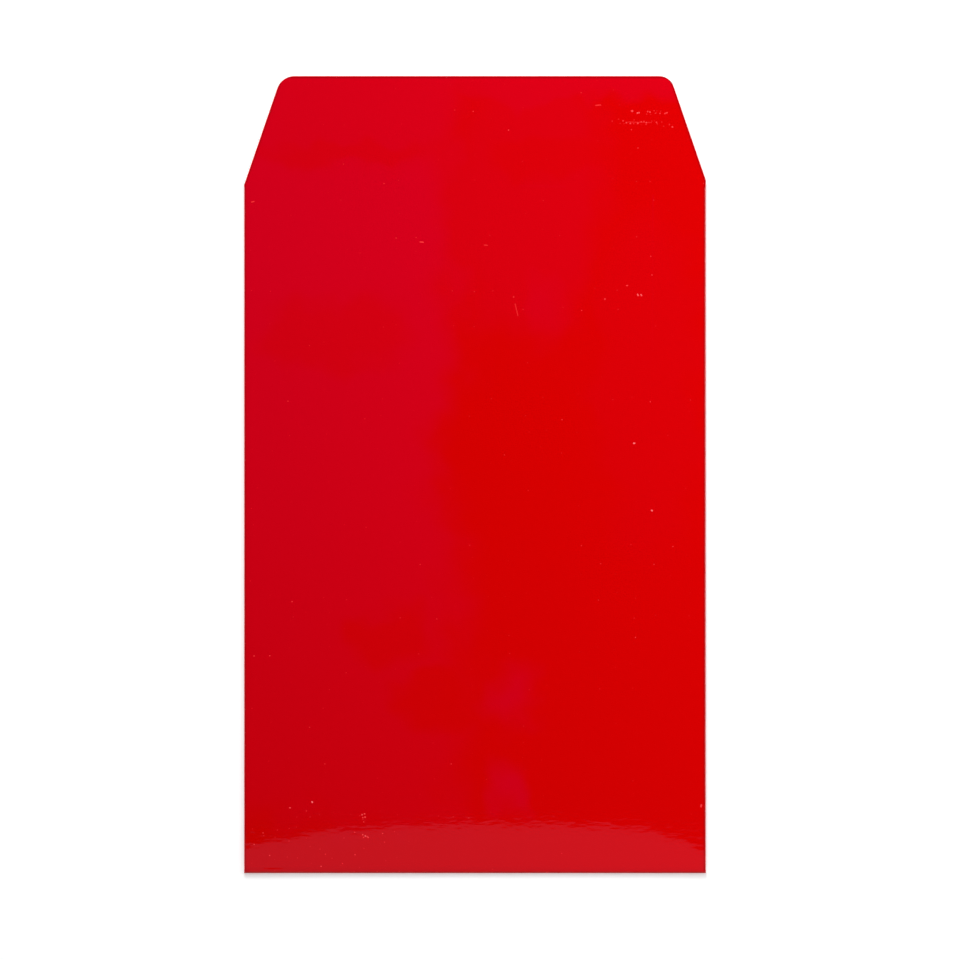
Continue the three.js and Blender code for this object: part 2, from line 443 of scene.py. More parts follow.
@dataclass(frozen=True)
class PanelRelief:
    """How the empty front panel departs from a plane: it rolls off into the bottom fold and bows a little."""

    layout: Layout
    roll_slope: float = 0.016
    roll_reach: float = 14.9 * MM
    roll_softness: float = 0.3
    left_start: float = 12 * MM
    left_growth: float = 22 * MM
    right_start: float = 5 * MM
    right_growth: float = 13 * MM
    reach_wobble: float = 1.6 * MM
    reach_wobble_length: float = 8 * MM
    reach_seed: float = 3.7
    lip_slope: float = 0.13
    lip_reach: float = 1.6 * MM
    crown: float = 0.14 * MM
    crown_ramp: float = 70 * MM
    waviness: float = 0.05 * MM
    wave_length: float = 38 * MM
    wave_seed: float = 1.3
    wave_side_growth: float = 3.0
    wave_end_growth: float = 2.0
    wave_end_share: float = 0.3
    tab_ridge: float = 0.025 * MM
    tab_ridge_reach: float = 1 * MM

    def reach(self, x: float) -> float:
        """How far up the panel the roll starts, least at the stiff sides.

        Args:
            x: A place across the panel.

        Returns:
            The distance from the bottom fold.
        """
        from_left, from_right = self.layout.half_width + x, self.layout.half_width - x
        left_hold = math.exp(-(from_left + self.left_start) / self.left_growth)
        right_hold = math.exp(-(from_right + self.right_start) / self.right_growth)
        place = Vector((x / self.reach_wobble_length, self.reach_seed, 0.0))
        return self.roll_reach * (1 - left_hold - right_hold) + self.reach_wobble * noise.noise(place)

    def dip(self, x: float, y: float) -> float:
        """Depth of the roll-off below the plane.

        Args:
            x: A place across the panel.
            y: A place along it.

        Returns:
            The depth, from the slope summed inwards from where the roll starts.
        """
        rise = y - self.layout.panel_start_y
        reach = self.reach(x)
        start, end = reach * (1 - self.roll_softness), reach * (1 + self.roll_softness)
        share = ramp(rise, start, end)
        eased_part = (end - start) * (0.5 - share + share**3 - share**4 / 2)
        steady_part = max(0.0, start - rise)
        lip = self.lip_slope * self.lip_reach / 2 * (1 - ramp(rise, 0.0, self.lip_reach)) ** 2
        return self.roll_slope * (eased_part + steady_part) + lip

    def swell(self, x: float, y: float) -> float:
        """Height of the bow, the waves and the seam tabs' ridges, none at the side folds and the crease.

        Args:
            x: A place across the panel.
            y: A place along it.

        Returns:
            The height.
        """
        across = max(0.0, 1 - (x / self.layout.side_x) ** 2)
        start_ramp = ease(y, self.layout.panel_start_y, self.layout.panel_start_y + self.crown_ramp)
        end_ramp = ease(self.layout.crease_start_y - y, 0.0, self.crown_ramp)
        place = Vector((x / self.wave_length, y / self.wave_length, self.wave_seed))
        wave = self.waviness * noise.noise(place) * min(1.0, self.wave_side_growth * across)
        wave_ramp = min(1.0, self.wave_end_growth * start_ramp + self.wave_end_share)
        from_tab = (abs(x) - self.layout.tab_inner_x) / self.tab_ridge_reach
        bulge = self.crown * across + self.tab_ridge * math.exp(-(from_tab**2))
        return (bulge * start_ramp + wave * wave_ramp) * end_ramp

    def top(self, x: float, y: float) -> float:
        """Height of the panel's outer face."""
        return self.layout.top + self.swell(x, y) - self.dip(x, y)

    def bottom(self, x: float, y: float) -> float:
        """Height of the panel's inner face."""
        return self.top(x, y) - self.layout.thickness


# Shader graphs


@dataclass(frozen=True)
class Shade:
    """A number in a shader graph that arithmetic works on."""

    graph: "Graph"
    socket: bpy.types.NodeSocket

    def __add__(self, other: "Shade | float") -> "Shade":
        """Sum."""
        return self.graph.math("ADD", self, other)

    def __radd__(self, other: float) -> "Shade":
        """Sum with a number in front."""
        return self.graph.math("ADD", other, self)

    def __sub__(self, other: "Shade | float") -> "Shade":
        """Difference."""
        return self.graph.math("SUBTRACT", self, other)

    def __rsub__(self, other: float) -> "Shade":
        """Difference from a number."""
        return self.graph.math("SUBTRACT", other, self)

    def __mul__(self, other: "Shade | float") -> "Shade":
        """Product."""
        return self.graph.math("MULTIPLY", self, other)

    def __rmul__(self, other: float) -> "Shade":
        """Product with a number in front."""
        return self.graph.math("MULTIPLY", other, self)

    def __truediv__(self, other: "Shade | float") -> "Shade":
        """Quotient."""
        return self.graph.math("DIVIDE", self, other)

    def __rtruediv__(self, other: float) -> "Shade":
        """A number divided by this one."""
        return self.graph.math("DIVIDE", other, self)

    def __abs__(self) -> "Shade":
        """Size without its sign."""
        return self.graph.math("ABSOLUTE", self)

    def larger(self, other: "Shade | float") -> "Shade":
        """The larger of two numbers."""
        return self.graph.math("MAXIMUM", self, other)

    def smaller(self, other: "Shade | float") -> "Shade":
        """The smaller of two numbers."""
        return self.graph.math("MINIMUM", self, other)

    def over(self, limit: float) -> "Shade":
        """1 where the number is over a limit, and 0 elsewhere."""
        return self.graph.math("GREATER_THAN", self, limit)

    def eased(self, low: float, high: float) -> "Shade":
        """Rise smoothly from 0 at low to 1 at high, which may be the lower number."""
        return self._mapped(low, high, "SMOOTHSTEP")

    def ramped(self, low: float, high: float) -> "Shade":
        """Rise evenly from 0 at low to 1 at high, which may be the lower number."""
        return self._mapped(low, high, "LINEAR")

    def _mapped(self, low: float, high: float, course: str) -> "Shade":
        """Map the number to a share.

        Args:
            low: The number that gives 0.
            high: The number that gives 1.
            course: How it goes between the two.

        Returns:
            A share from 0 to 1.
        """
        falling = high < low
        settings = {"interpolation_type": course}
        inputs = {
            "Value": self,
            "From Min": min(low, high),
            "From Max": max(low, high),
            "To Min": float(falling),
            "To Max": float(not falling),
        }
        return self.graph.number(self.graph.add("ShaderNodeMapRange", settings, inputs), "Result")


class Graph:
    """A node tree that is filled in by calls."""

    def __init__(self, tree: bpy.types.NodeTree) -> None:
        """Start from an empty tree."""
        self.tree = tree
        tree.nodes.clear()

    def add(
        self, kind: str, settings: dict[str, object] | None = None, inputs: Inputs | None = None
    ) -> bpy.types.Node:
        """Add one node.

        Args:
            kind: The node's type.
            settings: Properties to set first.
            inputs: Values or links by socket name or number.

        Returns:
            The node.
        """
        node = self.tree.nodes.new(kind)
        for name, value in (settings or {}).items():
            setattr(node, name, value)
        for key, value in (inputs or {}).items():
            link = value.socket if isinstance(value, Shade) else value
            if isinstance(link, bpy.types.NodeSocket):
                self.tree.links.new(link, node.inputs[key])
            else:
                node.inputs[key].default_value = value
        return node

    def number(self, node: bpy.types.Node, output: str | int) -> Shade:
        """Wrap a node's output for arithmetic."""
        return Shade(self, node.outputs[output])

    def math(self, operation: str, *values: Shade | float) -> Shade:
        """Add a Math node for one operation."""
        node = self.add("ShaderNodeMath", {"operation": operation}, dict(enumerate(values)))
        return self.number(node, 0)

    def attribute(self, name: str) -> bpy.types.Node:
        """Read a mesh attribute."""
        return self.add("ShaderNodeAttribute", {"attribute_type": "GEOMETRY", "attribute_name": name})

    def vector(self, operation: str, *values: object) -> bpy.types.NodeSocket:
        """Add a Vector Math node for one operation that gives a vector."""
        node = self.add("ShaderNodeVectorMath", {"operation": operation}, dict(enumerate(values)))
        return node.outputs["Vector"]

    def measure(self, operation: str, *values: object) -> Shade:
        """Add a Vector Math node for one operation that gives a number."""
        node = self.add("ShaderNodeVectorMath", {"operation": operation}, dict(enumerate(values)))
        return self.number(node, "Value")

    def axes(self, place: bpy.types.NodeSocket) -> tuple[Shade, Shade, Shade]:
        """Split a place into its three numbers."""
        node = self.add("ShaderNodeSeparateXYZ", inputs={"Vector": place})
        return tuple(self.number(node, axis) for axis in "XYZ")

    def noise(
        self,
        place: bpy.types.NodeSocket,
        grain: float,
        detail: float = 2.0,
        roughness: float = 0.5,
        flat: bool = False,
    ) -> Shade:
        """Add a noise.

        Args:
            place: Where it is read.
            grain: The length of its largest waves.
            detail: How many octaves it has.
            roughness: How strong the finer octaves are.
            flat: Whether it leaves the height out, for a flat face.

        Returns:
            The noise, about 0.5 in the middle.
        """
        settings = {"noise_dimensions": "2D" if flat else "3D"}
        inputs = {"Vector": place, "Scale": 1 / grain, "Detail": detail, "Roughness": roughness}
        return self.number(self.add("ShaderNodeTexNoise", settings, inputs), 0)

    def mix(self, factor: Shade, first: object, second: object, blend: str = "MIX") -> bpy.types.NodeSocket:
        """Mix two colours.

        Args:
            factor: The share of the second one.
            first: A colour or a link.
            second: A colour or a link.
            blend: How the second one goes over the first.

        Returns:
            The mixed colour.
        """
        values = [(*value, 1.0) if isinstance(value, tuple) else value for value in (first, second)]
        settings = {"data_type": "RGBA", "blend_type": blend}
        node = self.add("ShaderNodeMix", settings, {0: factor, 6: values[0], 7: values[1]})
        return node.outputs[2]

    def bump(self, height: Shade, distance: float) -> bpy.types.NodeSocket:
        """Turn a height pattern, of which 1 stands for a real distance, into a normal."""
        return self.add("ShaderNodeBump", inputs={"Height": height, "Distance": distance}).outputs["Normal"]

    def finish(self, inputs: Inputs) -> None:
        """End the graph in a Principled shader with these values and links."""
        shader = self.add("ShaderNodeBsdfPrincipled", inputs=inputs)
        self.add("ShaderNodeOutputMaterial", inputs={"Surface": shader.outputs["BSDF"]})


class Finish(ABC):
    """A material that is drawn by the place that each point has on the flat board."""

    name: str

    def material(self) -> bpy.types.Material:
        """Make the material.

        Returns:
            The finished material.
        """
        material = bpy.data.materials.new(self.name)
        material.use_nodes = True
        graph = Graph(material.node_tree)
        graph.finish(self.inputs(graph, graph.attribute(REST_PLACE).outputs["Vector"]))
        return material

    @abstractmethod
    def inputs(self, graph: Graph, place: bpy.types.NodeSocket) -> Inputs:
        """Work out what goes into the Principled shader.

        Args:
            graph: The graph to work in.
            place: The place on the board.

        Returns:
            The shader's values and links by socket name.
        """


# Marks and painted reflections in the finishes


def strongest(masks: Sequence[Shade]) -> Shade:
    """Take the largest of some masks at each place.

    Args:
        masks: The masks, at least one.

    Returns:
        The largest.
    """
    best = masks[0]
    for mask in masks[1:]:
        best = best.larger(mask)
    return best


@dataclass(frozen=True)
class Scratch:
    """One short line or long speck in the gloss, either whole or a row of dots."""

    start: Place
    end: Place
    half_width: float
    strength: float
    dotted: bool = False
    fade_share: float = 2.0
    core_share: float = 0.4

    def mask(self, graph: Graph, place: bpy.types.NodeSocket, dots: Shade) -> Shade:
        """Cover the mark.

        Args:
            graph: The graph to work in.
            place: The place on the board, with its height taken out.
            dots: The dots that a dotted mark is made of.

        Returns:
            Its strength on the mark, and 0 elsewhere.
        """
        start, end = Vector((*self.start, 0.0)), Vector((*self.end, 0.0))
        run = end - start
        from_start = graph.vector("SUBTRACT", place, tuple(start))
        along = graph.measure("DOT_PRODUCT", from_start, tuple(run / run.length_squared))
        foot = graph.vector("MULTIPLY", along.larger(0.0).smaller(1.0), tuple(run))
        distance = graph.measure("LENGTH", graph.vector("SUBTRACT", from_start, foot))
        reach = distance.eased(self.fade_share * self.half_width, self.core_share * self.half_width)
        mask = reach * self.strength
        return mask * dots if self.dotted else mask


@dataclass(frozen=True)
class Dust:
    """Fine specks, scattered about one to a cell, a few of them bright and most of them faint."""

    spacing: float
    radius: float
    share: float
    strength: float
    rarity: float
    core_share: float = 0.3

    def mask(self, graph: Graph, place: bpy.types.NodeSocket) -> Shade:
        """Cover the specks.

        Args:
            graph: The graph to work in.
            place: The place on the board.

        Returns:
            The strength of the speck at each place, and 0 between them.
        """
        settings = {"voronoi_dimensions": "2D", "feature": "F1"}
        inputs = {"Vector": place, "Scale": 1 / self.spacing, "Randomness": 1.0}
        cells = graph.add("ShaderNodeTexVoronoi", settings, inputs)
        chance = graph.axes(cells.outputs["Color"])
        reach = self.radius / self.spacing
        shape = graph.number(cells, "Distance").eased(reach, self.core_share * reach)
        brightness = self.strength * self.rarity / (chance[1] + self.rarity)
        return shape * chance[0].over(1 - self.share) * brightness


@dataclass(frozen=True)
class Wear:
    """The scratches, ticks and scuffs that can be told apart on the outer face."""

    long_scratch: Scratch = Scratch((13.3 * MM, 56.5 * MM), (14.2 * MM, 52.6 * MM), 0.13 * MM, 0.065)
    scratch_start: Scratch = Scratch((12.8 * MM, 58.9 * MM), (12.8 * MM, 58.8 * MM), 0.17 * MM, 0.09)
    left_tick: Scratch = Scratch((53.8 * MM, 59.7 * MM), (54.0 * MM, 59.3 * MM), 0.16 * MM, 0.5)
    right_tick: Scratch = Scratch((54.9 * MM, 59.6 * MM), (55.1 * MM, 59.3 * MM), 0.16 * MM, 0.5)
    right_speck: Scratch = Scratch((52.5 * MM, 10.4 * MM), (52.8 * MM, 10.4 * MM), 0.16 * MM, 0.8)
    low_right_speck: Scratch = Scratch((58.5 * MM, -11.8 * MM), (58.6 * MM, -11.9 * MM), 0.17 * MM, 0.92)
    low_left_speck: Scratch = Scratch((-53.9 * MM, -108.2 * MM), (-53.8 * MM, -108.4 * MM), 0.16 * MM, 0.85)
    far_left_speck: Scratch = Scratch((-61.3 * MM, -110.2 * MM), (-61.1 * MM, -110.2 * MM), 0.15 * MM, 0.25)
    high_right_speck: Scratch = Scratch((50.2 * MM, 62.6 * MM), (50.5 * MM, 62.6 * MM), 0.15 * MM, 0.16)
    inner_right_speck: Scratch = Scratch((43.0 * MM, 58.2 * MM), (43.0 * MM, 58.0 * MM), 0.16 * MM, 0.18)
    low_cluster: Scratch = Scratch((-37.0 * MM, -112.1 * MM), (-36.4 * MM, -113.6 * MM), 0.5 * MM, 0.8, True)
    band_cluster: Scratch = Scratch((-37.4 * MM, -119.3 * MM), (-35.4 * MM, -120.2 * MM), 0.4 * MM, 0.7, True)
    upper_pair: Scratch = Scratch((3.1 * MM, 76.0 * MM), (4.1 * MM, 75.9 * MM), 0.15 * MM, 0.075)
    upper_left_dash: Scratch = Scratch((-18.1 * MM, 77.0 * MM), (-17.1 * MM, 76.9 * MM), 0.14 * MM, 0.15)
    left_dash: Scratch = Scratch((-73.9 * MM, 90.2 * MM), (-73.1 * MM, 90.4 * MM), 0.14 * MM, 0.11)
    flap_tick: Scratch = Scratch((40.0 * MM, 122.2 * MM), (41.6 * MM, 122.3 * MM), 0.15 * MM, 0.1)
    upper_dot: Scratch = Scratch((51.9 * MM, 120.3 * MM), (52.1 * MM, 120.3 * MM), 0.2 * MM, 0.32)
    upper_scuff: Scratch = Scratch((53.4 * MM, 119.9 * MM), (61.2 * MM, 119.8 * MM), 0.42 * MM, 0.6, True)
    upper_end: Scratch = Scratch((62.8 * MM, 119.5 * MM), (63.6 * MM, 119.8 * MM), 0.16 * MM, 0.17)
    lower_scuff: Scratch = Scratch((46.0 * MM, 117.0 * MM), (59.8 * MM, 116.3 * MM), 0.5 * MM, 0.48, True)
    lower_line: Scratch = Scratch((50.6 * MM, 116.7 * MM), (58.4 * MM, 116.5 * MM), 0.1 * MM, 0.06)
    lower_end: Scratch = Scratch((61.4 * MM, 116.2 * MM), (65.2 * MM, 115.2 * MM), 0.45 * MM, 0.38, True)
    side_nick: Scratch = Scratch((74.8 * MM, -109.8 * MM), (74.9 * MM, -109.2 * MM), 0.18 * MM, 0.2)
    dots: Dust = Dust(1.15 * MM, 0.34 * MM, 0.8, 1.0, 0.35)

    def mask(self, graph: Graph, place: bpy.types.NodeSocket) -> Shade:
        """Cover every mark.

        Args:
            graph: The graph to work in.
            place: The place on the board, with its height taken out.

        Returns:
            The strongest mark at each place.
        """
        dots = self.dots.mask(graph, place)
        marks = [mark for mark in vars(self).values() if isinstance(mark, Scratch)]
        return strongest([mark.mask(graph, place, dots) for mark in marks])


@dataclass(frozen=True)
class Dent:
    """A short line pressed into the gloss, which tilts it out of the reflection."""

    start: Place
    length: float
    width: float
    depth: float

    def height(self, graph: Graph, place: bpy.types.NodeSocket) -> Shade:
        """Shape the line.

        Args:
            graph: The graph to work in.
            place: The place on the board, with its height taken out.

        Returns:
            The height, which falls by the dent's depth from its near side to its far one.
        """
        x, y, _ = graph.axes(place)
        end_x = self.start[0] + self.length
        along = x.eased(self.start[0] - self.width, self.start[0]) * x.eased(end_x + self.width, end_x)
        fall = y.ramped(self.start[1] + self.width / 2, self.start[1] - self.width / 2)
        return fall * along * self.depth


@dataclass(frozen=True)
class Patch:
    """A soft-edged oval: of the painted cool reflection, or of where the corner dust lies."""

    centre: Place
    reach: Place
    strength: float
    core_share: float = 0.6
    fade_share: float = 1.25

    def mask(self, graph: Graph, place: bpy.types.NodeSocket) -> Shade:
        """Cover the oval.

        Args:
            graph: The graph to work in.
            place: The place on the board.

        Returns:
            The patch's strength in the middle, falling to 0 at the oval's edge.
        """
        scale = (1 / self.reach[0], 1 / self.reach[1], 0.0)
        shift = (-self.centre[0] * scale[0], -self.centre[1] * scale[1], 0.0)
        radius = graph.measure("LENGTH", graph.vector("MULTIPLY_ADD", place, scale, shift))
        return radius.eased(self.fade_share, self.core_share) * self.strength


@dataclass(frozen=True)
class PaintedReflection:
    """A painted reflection: a faint cool tint over the left part, thinner in some patches, and in a few spots
    elsewhere.
    """

    reflection_edge: float = -5 * MM
    edge_softness: float = 13 * MM
    base_share: float = 0.05
    drift: float = 22 * MM
    drift_length: float = 18 * MM
    band_low: float = -124 * MM
    band_high: float = -108 * MM
    low_fade: float = -110 * MM
    high_fade: float = 70 * MM
    low_share: float = 0.38
    # Hazes and spots where the painted reflection is stronger.
    upper_haze: Patch = Patch((16 * MM, 92 * MM), (30 * MM, 52 * MM), 0.42)
    right_haze: Patch = Patch((58 * MM, 30 * MM), (20 * MM, 66 * MM), 0.2)
    tip_haze: Patch = Patch((30 * MM, 131 * MM), (70 * MM, 9 * MM), 0.72)
    upper_spot: Patch = Patch((21.6 * MM, 57.6 * MM), (14 * MM, 18 * MM), 0.7, 0.0)
    low_spot: Patch = Patch((11 * MM, -74 * MM), (11 * MM, 13 * MM), 0.85, 0.0)
    band_spot: Patch = Patch((12 * MM, -105 * MM), (8 * MM, 13 * MM), 0.95, 0.0)
    # Patches where the painted reflection is thinner.
    middle_thin_reflection: Patch = Patch((13 * MM, 8 * MM), (27 * MM, 37 * MM), 0.95)
    low_thin_reflection: Patch = Patch((-28 * MM, -54 * MM), (15 * MM, 11 * MM), 0.6)
    upper_thin_reflection: Patch = Patch((-48 * MM, 46 * MM), (25 * MM, 13 * MM), 0.42)
    flap_thin_reflection: Patch = Patch((-43 * MM, 107.5 * MM), (32 * MM, 5 * MM), 0.38)
    right_flap_thin_reflection: Patch = Patch((25 * MM, 105 * MM), (18 * MM, 7 * MM), 0.4)
    whole_flap_thin_reflection: Patch = Patch((-36 * MM, 119 * MM), (46 * MM, 20 * MM), 0.24)
    lower_thin_reflection: Patch = Patch((-13 * MM, -75 * MM), (12 * MM, 11 * MM), 0.75)
    # Painted reflection along a crease scuff and a long rub.
    crease_scuff: Scratch = Scratch((15.0 * MM, 95.6 * MM), (29.9 * MM, 95.4 * MM), 0.3 * MM, 0.6)
    long_rub: Scratch = Scratch((58.9 * MM, 92.4 * MM), (58.7 * MM, 41.0 * MM), 0.25 * MM, 0.28)

    def share(self, graph: Graph, place: bpy.types.NodeSocket) -> Shade:
        """Say how strong the painted reflection is.

        Args:
            graph: The graph to work in.
            place: The place on the board, with its height taken out.

        Returns:
            0 for none and 1 for its usual strength on the left.
        """
        drifted = self._drifted(graph, place)
        x, y, _ = graph.axes(drifted)
        left = x.eased(self.reflection_edge + self.edge_softness, self.reflection_edge - self.edge_softness)
        spots = (self.upper_spot, self.low_spot, self.band_spot)
        hazes = (self.upper_haze, self.right_haze, self.tip_haze)
        thin_reflections = (
            self.middle_thin_reflection,
            self.low_thin_reflection,
            self.upper_thin_reflection,
            self.flap_thin_reflection,
            self.right_flap_thin_reflection,
            self.whole_flap_thin_reflection,
            self.lower_thin_reflection,
        )
        # The painted reflection: over the left part and the hazes, thinner in patches and weaker towards the
        # bottom.
        painted_reflection = strongest([left.larger(self.base_share), *(haze.mask(graph, drifted) for haze in hazes)])
        for thin_reflection in thin_reflections:
            painted_reflection = painted_reflection * (1 - thin_reflection.mask(graph, drifted))
        growth = y.ramped(self.low_fade, self.high_fade) * (1 - self.low_share) + self.low_share
        painted_reflection = painted_reflection * growth * y.eased(self.band_low, self.band_high)
        marks = [mark.mask(graph, place, painted_reflection) for mark in (self.crease_scuff, self.long_rub)]
        return strongest([painted_reflection, *marks, *(spot.mask(graph, drifted) for spot in spots)])

    def _drifted(self, graph: Graph, place: bpy.types.NodeSocket) -> bpy.types.NodeSocket:
        """Let a place drift to and fro, so that the painted reflection's edges wander.

        Args:
            graph: The graph to work in.
            place: The place on the board, with its height taken out.

        Returns:
            The place that the cast is read at.
        """
        noise_inputs = {"Vector": place, "Scale": 1 / self.drift_length, "Detail": 2.0}
        wind = graph.add("ShaderNodeTexNoise", {"noise_dimensions": "2D"}, noise_inputs).outputs["Color"]
        centred = graph.vector("SUBTRACT", wind, (0.5, 0.5, 0.5))
        return graph.vector("MULTIPLY_ADD", centred, (self.drift, self.drift, 0.0), place)


# Finishes


@dataclass(frozen=True)
class GlossRed(Finish):
    """Red ink under a clear gloss coat, with dust, scratches and pale cracks along the folds, and painted
    light and shade in its colour: painted shade on the left and along the rim, a painted cool reflection,
    painted glints round the marks and a painted highlight on the edge.
    """

    layout: Layout
    name: str = "red_gloss_coat"
    wear: Wear = Wear()
    painted_reflection: PaintedReflection = PaintedReflection()
    # Painted shade and light: the ink is darker on the left and brighter on the right.
    painted_shade_left_ink: Triple = (0.62, 0.0003, 0.0004)
    painted_light_right_ink: Triple = (0.738, 0.0003, 0.0004)
    # Painted reflection: a faint cool tint added over the ink.
    painted_reflection_tint: Triple = (0.0, 0.0, 0.0105)
    # Painted shade: a darker band just inside the outline.
    rim_painted_shade: Triple = (0.30, 0.002, 0.004)
    # Painted highlight: the outermost edge is made brighter.
    edge_painted_highlight: Triple = (0.98, 0.02, 0.02)
    glint_colour: Triple = (1.0, 0.008, 0.01)
    dust_colour: Triple = (1.0, 0.25, 0.26)
    crack_colour: Triple = (0.80, 0.42, 0.30)
    refraction: float = 1.5
    gloss_roughness: float = 0.045
    rub_roughness: float = 0.02
    rub_length: float = 22 * MM
    rub_stretch: float = 0.25
    mark_roughness: float = 0.35
    crack_roughness: float = 0.4
    dust: Dust = Dust(6 * MM, 0.27 * MM, 0.4, 0.22, 0.056)
    glint_reach: float = 0.12
    corner_dust: Dust = Dust(3.6 * MM, 0.26 * MM, 0.5, 0.3, 0.15)
    corner: Patch = Patch((-52 * MM, -122 * MM), (30 * MM, 12 * MM), 1.0)
    dent: Dent = Dent((-69.7 * MM, -130.5 * MM), 5.9 * MM, 0.7 * MM, 0.054 * MM)
    orange_peel: float = 1.6 * MM
    hatch_length: float = 3.6 * MM
    hatch_height: float = 1.2 * MM
    hatch_strength: float = 9.0
    peel_height: float = 0.0009 * MM
    rim_margin: float = 0.06 * MM
    rim_start: float = 0.3 * MM
    rim_width: float = 1.1 * MM
    rim_strength: float = 0.65
    bottom_narrowing: float = 1.6
    edge_width: float = 0.24 * MM
    edge_core: float = 0.08 * MM
    crack_start: float = 0.14 * MM
    crack_core: float = 0.03 * MM
    crack_height: float = 0.18 * MM
    crack_stretch: float = 0.12
    crack_range: Place = (0.46, 0.62)
    crack_run: float = 9 * MM
    crack_run_range: Place = (0.3, 0.6)
    crack_end: float = 1 * MM
    crack_strength: float = 0.2
    left_crack_strength: float = 0.4

    def inputs(self, graph: Graph, place: bpy.types.NodeSocket) -> Inputs:
        """Work out what goes into the Principled shader.

        Args:
            graph: The graph to work in.
            place: The place on the board.

        Returns:
            The shader's values and links by socket name.
        """
        flat_place = graph.vector("MULTIPLY", place, (1.0, 1.0, 0.0))
        marks = self._marks(graph, place, flat_place)
        cracks = self._cracks(graph, place)
        ink_and_painted_light = self._ink_and_painted_light(graph, place, flat_place)
        worn = graph.mix(cracks, ink_and_painted_light, self.crack_colour)
        glinting = graph.mix(marks.ramped(0.0, self.glint_reach), worn, self.glint_colour)
        rub_place = graph.vector("MULTIPLY", place, (1.0, self.rub_stretch, 1.0))
        rubs = (graph.noise(rub_place, self.rub_length, flat=True) - 0.5) * self.rub_roughness
        wear = marks * self.mark_roughness + cracks * self.crack_roughness
        return {
            "Base Color": graph.mix(marks, glinting, self.dust_colour),
            "Roughness": self.gloss_roughness + rubs + wear,
            "IOR": self.refraction,
            "Normal": graph.bump(self._height(graph, place, flat_place), self.peel_height),
        }

    def _marks(self, graph: Graph, place: bpy.types.NodeSocket, flat_place: bpy.types.NodeSocket) -> Shade:
        """Cover the dust everywhere, and on the front also the marks that can be told apart.

        Args:
            graph: The graph to work in.
            place: The place on the board.
            flat_place: The same with its height taken out.

        Returns:
            The strength of the mark at each place.
        """
        _, _, z = graph.axes(place)
        corner_dust = self.corner_dust.mask(graph, place) * self.corner.mask(graph, flat_place)
        front_marks = self.wear.mask(graph, flat_place).larger(corner_dust) * z.over(self.layout.tab_base)
        return front_marks.larger(self.dust.mask(graph, place))

    def _ink_and_painted_light(
        self, graph: Graph, place: bpy.types.NodeSocket, flat_place: bpy.types.NodeSocket
    ) -> bpy.types.NodeSocket:
        """Lay the ink with painted light: painted shade to the left, a painted cool reflection, painted shade
        along the rim and a painted highlight on the edge.

        Args:
            graph: The graph to work in.
            place: The place on the board.
            flat_place: The same with its height taken out.

        Returns:
            The ink's colour, with its painted light and shade.
        """
        x, _, _ = graph.axes(place)
        to_right = x.ramped(-self.layout.half_width, self.layout.half_width)
        # Painted shade and light: darker on the left, brighter on the right.
        ink_with_painted_shade = graph.mix(to_right, self.painted_shade_left_ink, self.painted_light_right_ink)
        # Painted reflection: a faint cool tint added over the ink.
        painted_reflection = graph.mix(self.painted_reflection.share(graph, flat_place), ink_with_painted_shade, self.painted_reflection_tint, "ADD")
        inset = self._inset(graph, place)
        rim = inset.eased(self.rim_margin, self.rim_start) * inset.eased(self.rim_width, self.rim_start)
        # Painted shade along the rim.
        rimmed = graph.mix(rim * self.rim_strength, painted_reflection, self.rim_painted_shade)
        # Painted highlight on the very edge.
        return graph.mix(inset.eased(self.edge_width, self.edge_core), rimmed, self.edge_painted_highlight)

    def _inset(self, graph: Graph, place: bpy.types.NodeSocket) -> Shade:
        """Measure how far inside the blank's outline a place lies.

        Args:
            graph: The graph to work in.
            place: The place on the board.

        Returns:
            The distance, counted longer at the bottom, where the rim is narrower.
        """
        x, y, _ = graph.axes(place)
        drawn_in = (y - self.layout.crease_y).larger(0.0) * self.layout.taper
        aside = abs(x - y.over(self.layout.crease_y) * self.layout.flap_drift)
        from_side = self.layout.half_width - drawn_in - aside
        from_bottom = (y - self.layout.bottom_y) * self.bottom_narrowing
        return from_side.smaller((self.layout.tip_y - y).smaller(from_bottom))

    def _cracks(self, graph: Graph, place: bpy.types.NodeSocket) -> Shade:
        """Cover the fine cracks along the outside of the side folds, most of them on the left.

        Args:
            graph: The graph to work in.
            place: The place on the board.

        Returns:
            The strength of the crack at each place.
        """
        x, y, _ = graph.axes(place)
        half_width, end = self.layout.half_width, self.layout.side_end_y
        body_only = y.eased(end, end - self.crack_end)
        outermost = abs(x).eased(half_width - self.crack_start, half_width - self.crack_core)
        grain_place = graph.vector("MULTIPLY", place, (1.0, self.crack_stretch, 1.0))
        grain = graph.noise(grain_place, self.crack_height).eased(*self.crack_range)
        stretches = graph.noise(place, self.crack_run, 1.0).eased(*self.crack_run_range)
        strength = (1 - x.over(0.0)) * self.left_crack_strength + self.crack_strength
        return outermost * grain * stretches * strength * body_only

    def _height(self, graph: Graph, place: bpy.types.NodeSocket, flat_place: bpy.types.NodeSocket) -> Shade:
        """Shape the coat: its orange peel, its faint hatching across and the dent.

        Args:
            graph: The graph to work in.
            place: The place on the board.
            flat_place: The same with its height taken out.

        Returns:
            The height pattern.
        """
        peel = graph.noise(place, self.orange_peel, 1.0, flat=True)
        hatch_place = graph.vector("MULTIPLY", place, (self.hatch_height / self.hatch_length, 1.0, 0.0))
        hatch = graph.noise(hatch_place, self.hatch_height, 1.0, flat=True)
        dent = self.dent.height(graph, flat_place) / self.peel_height
        return peel + hatch * self.hatch_strength + dent


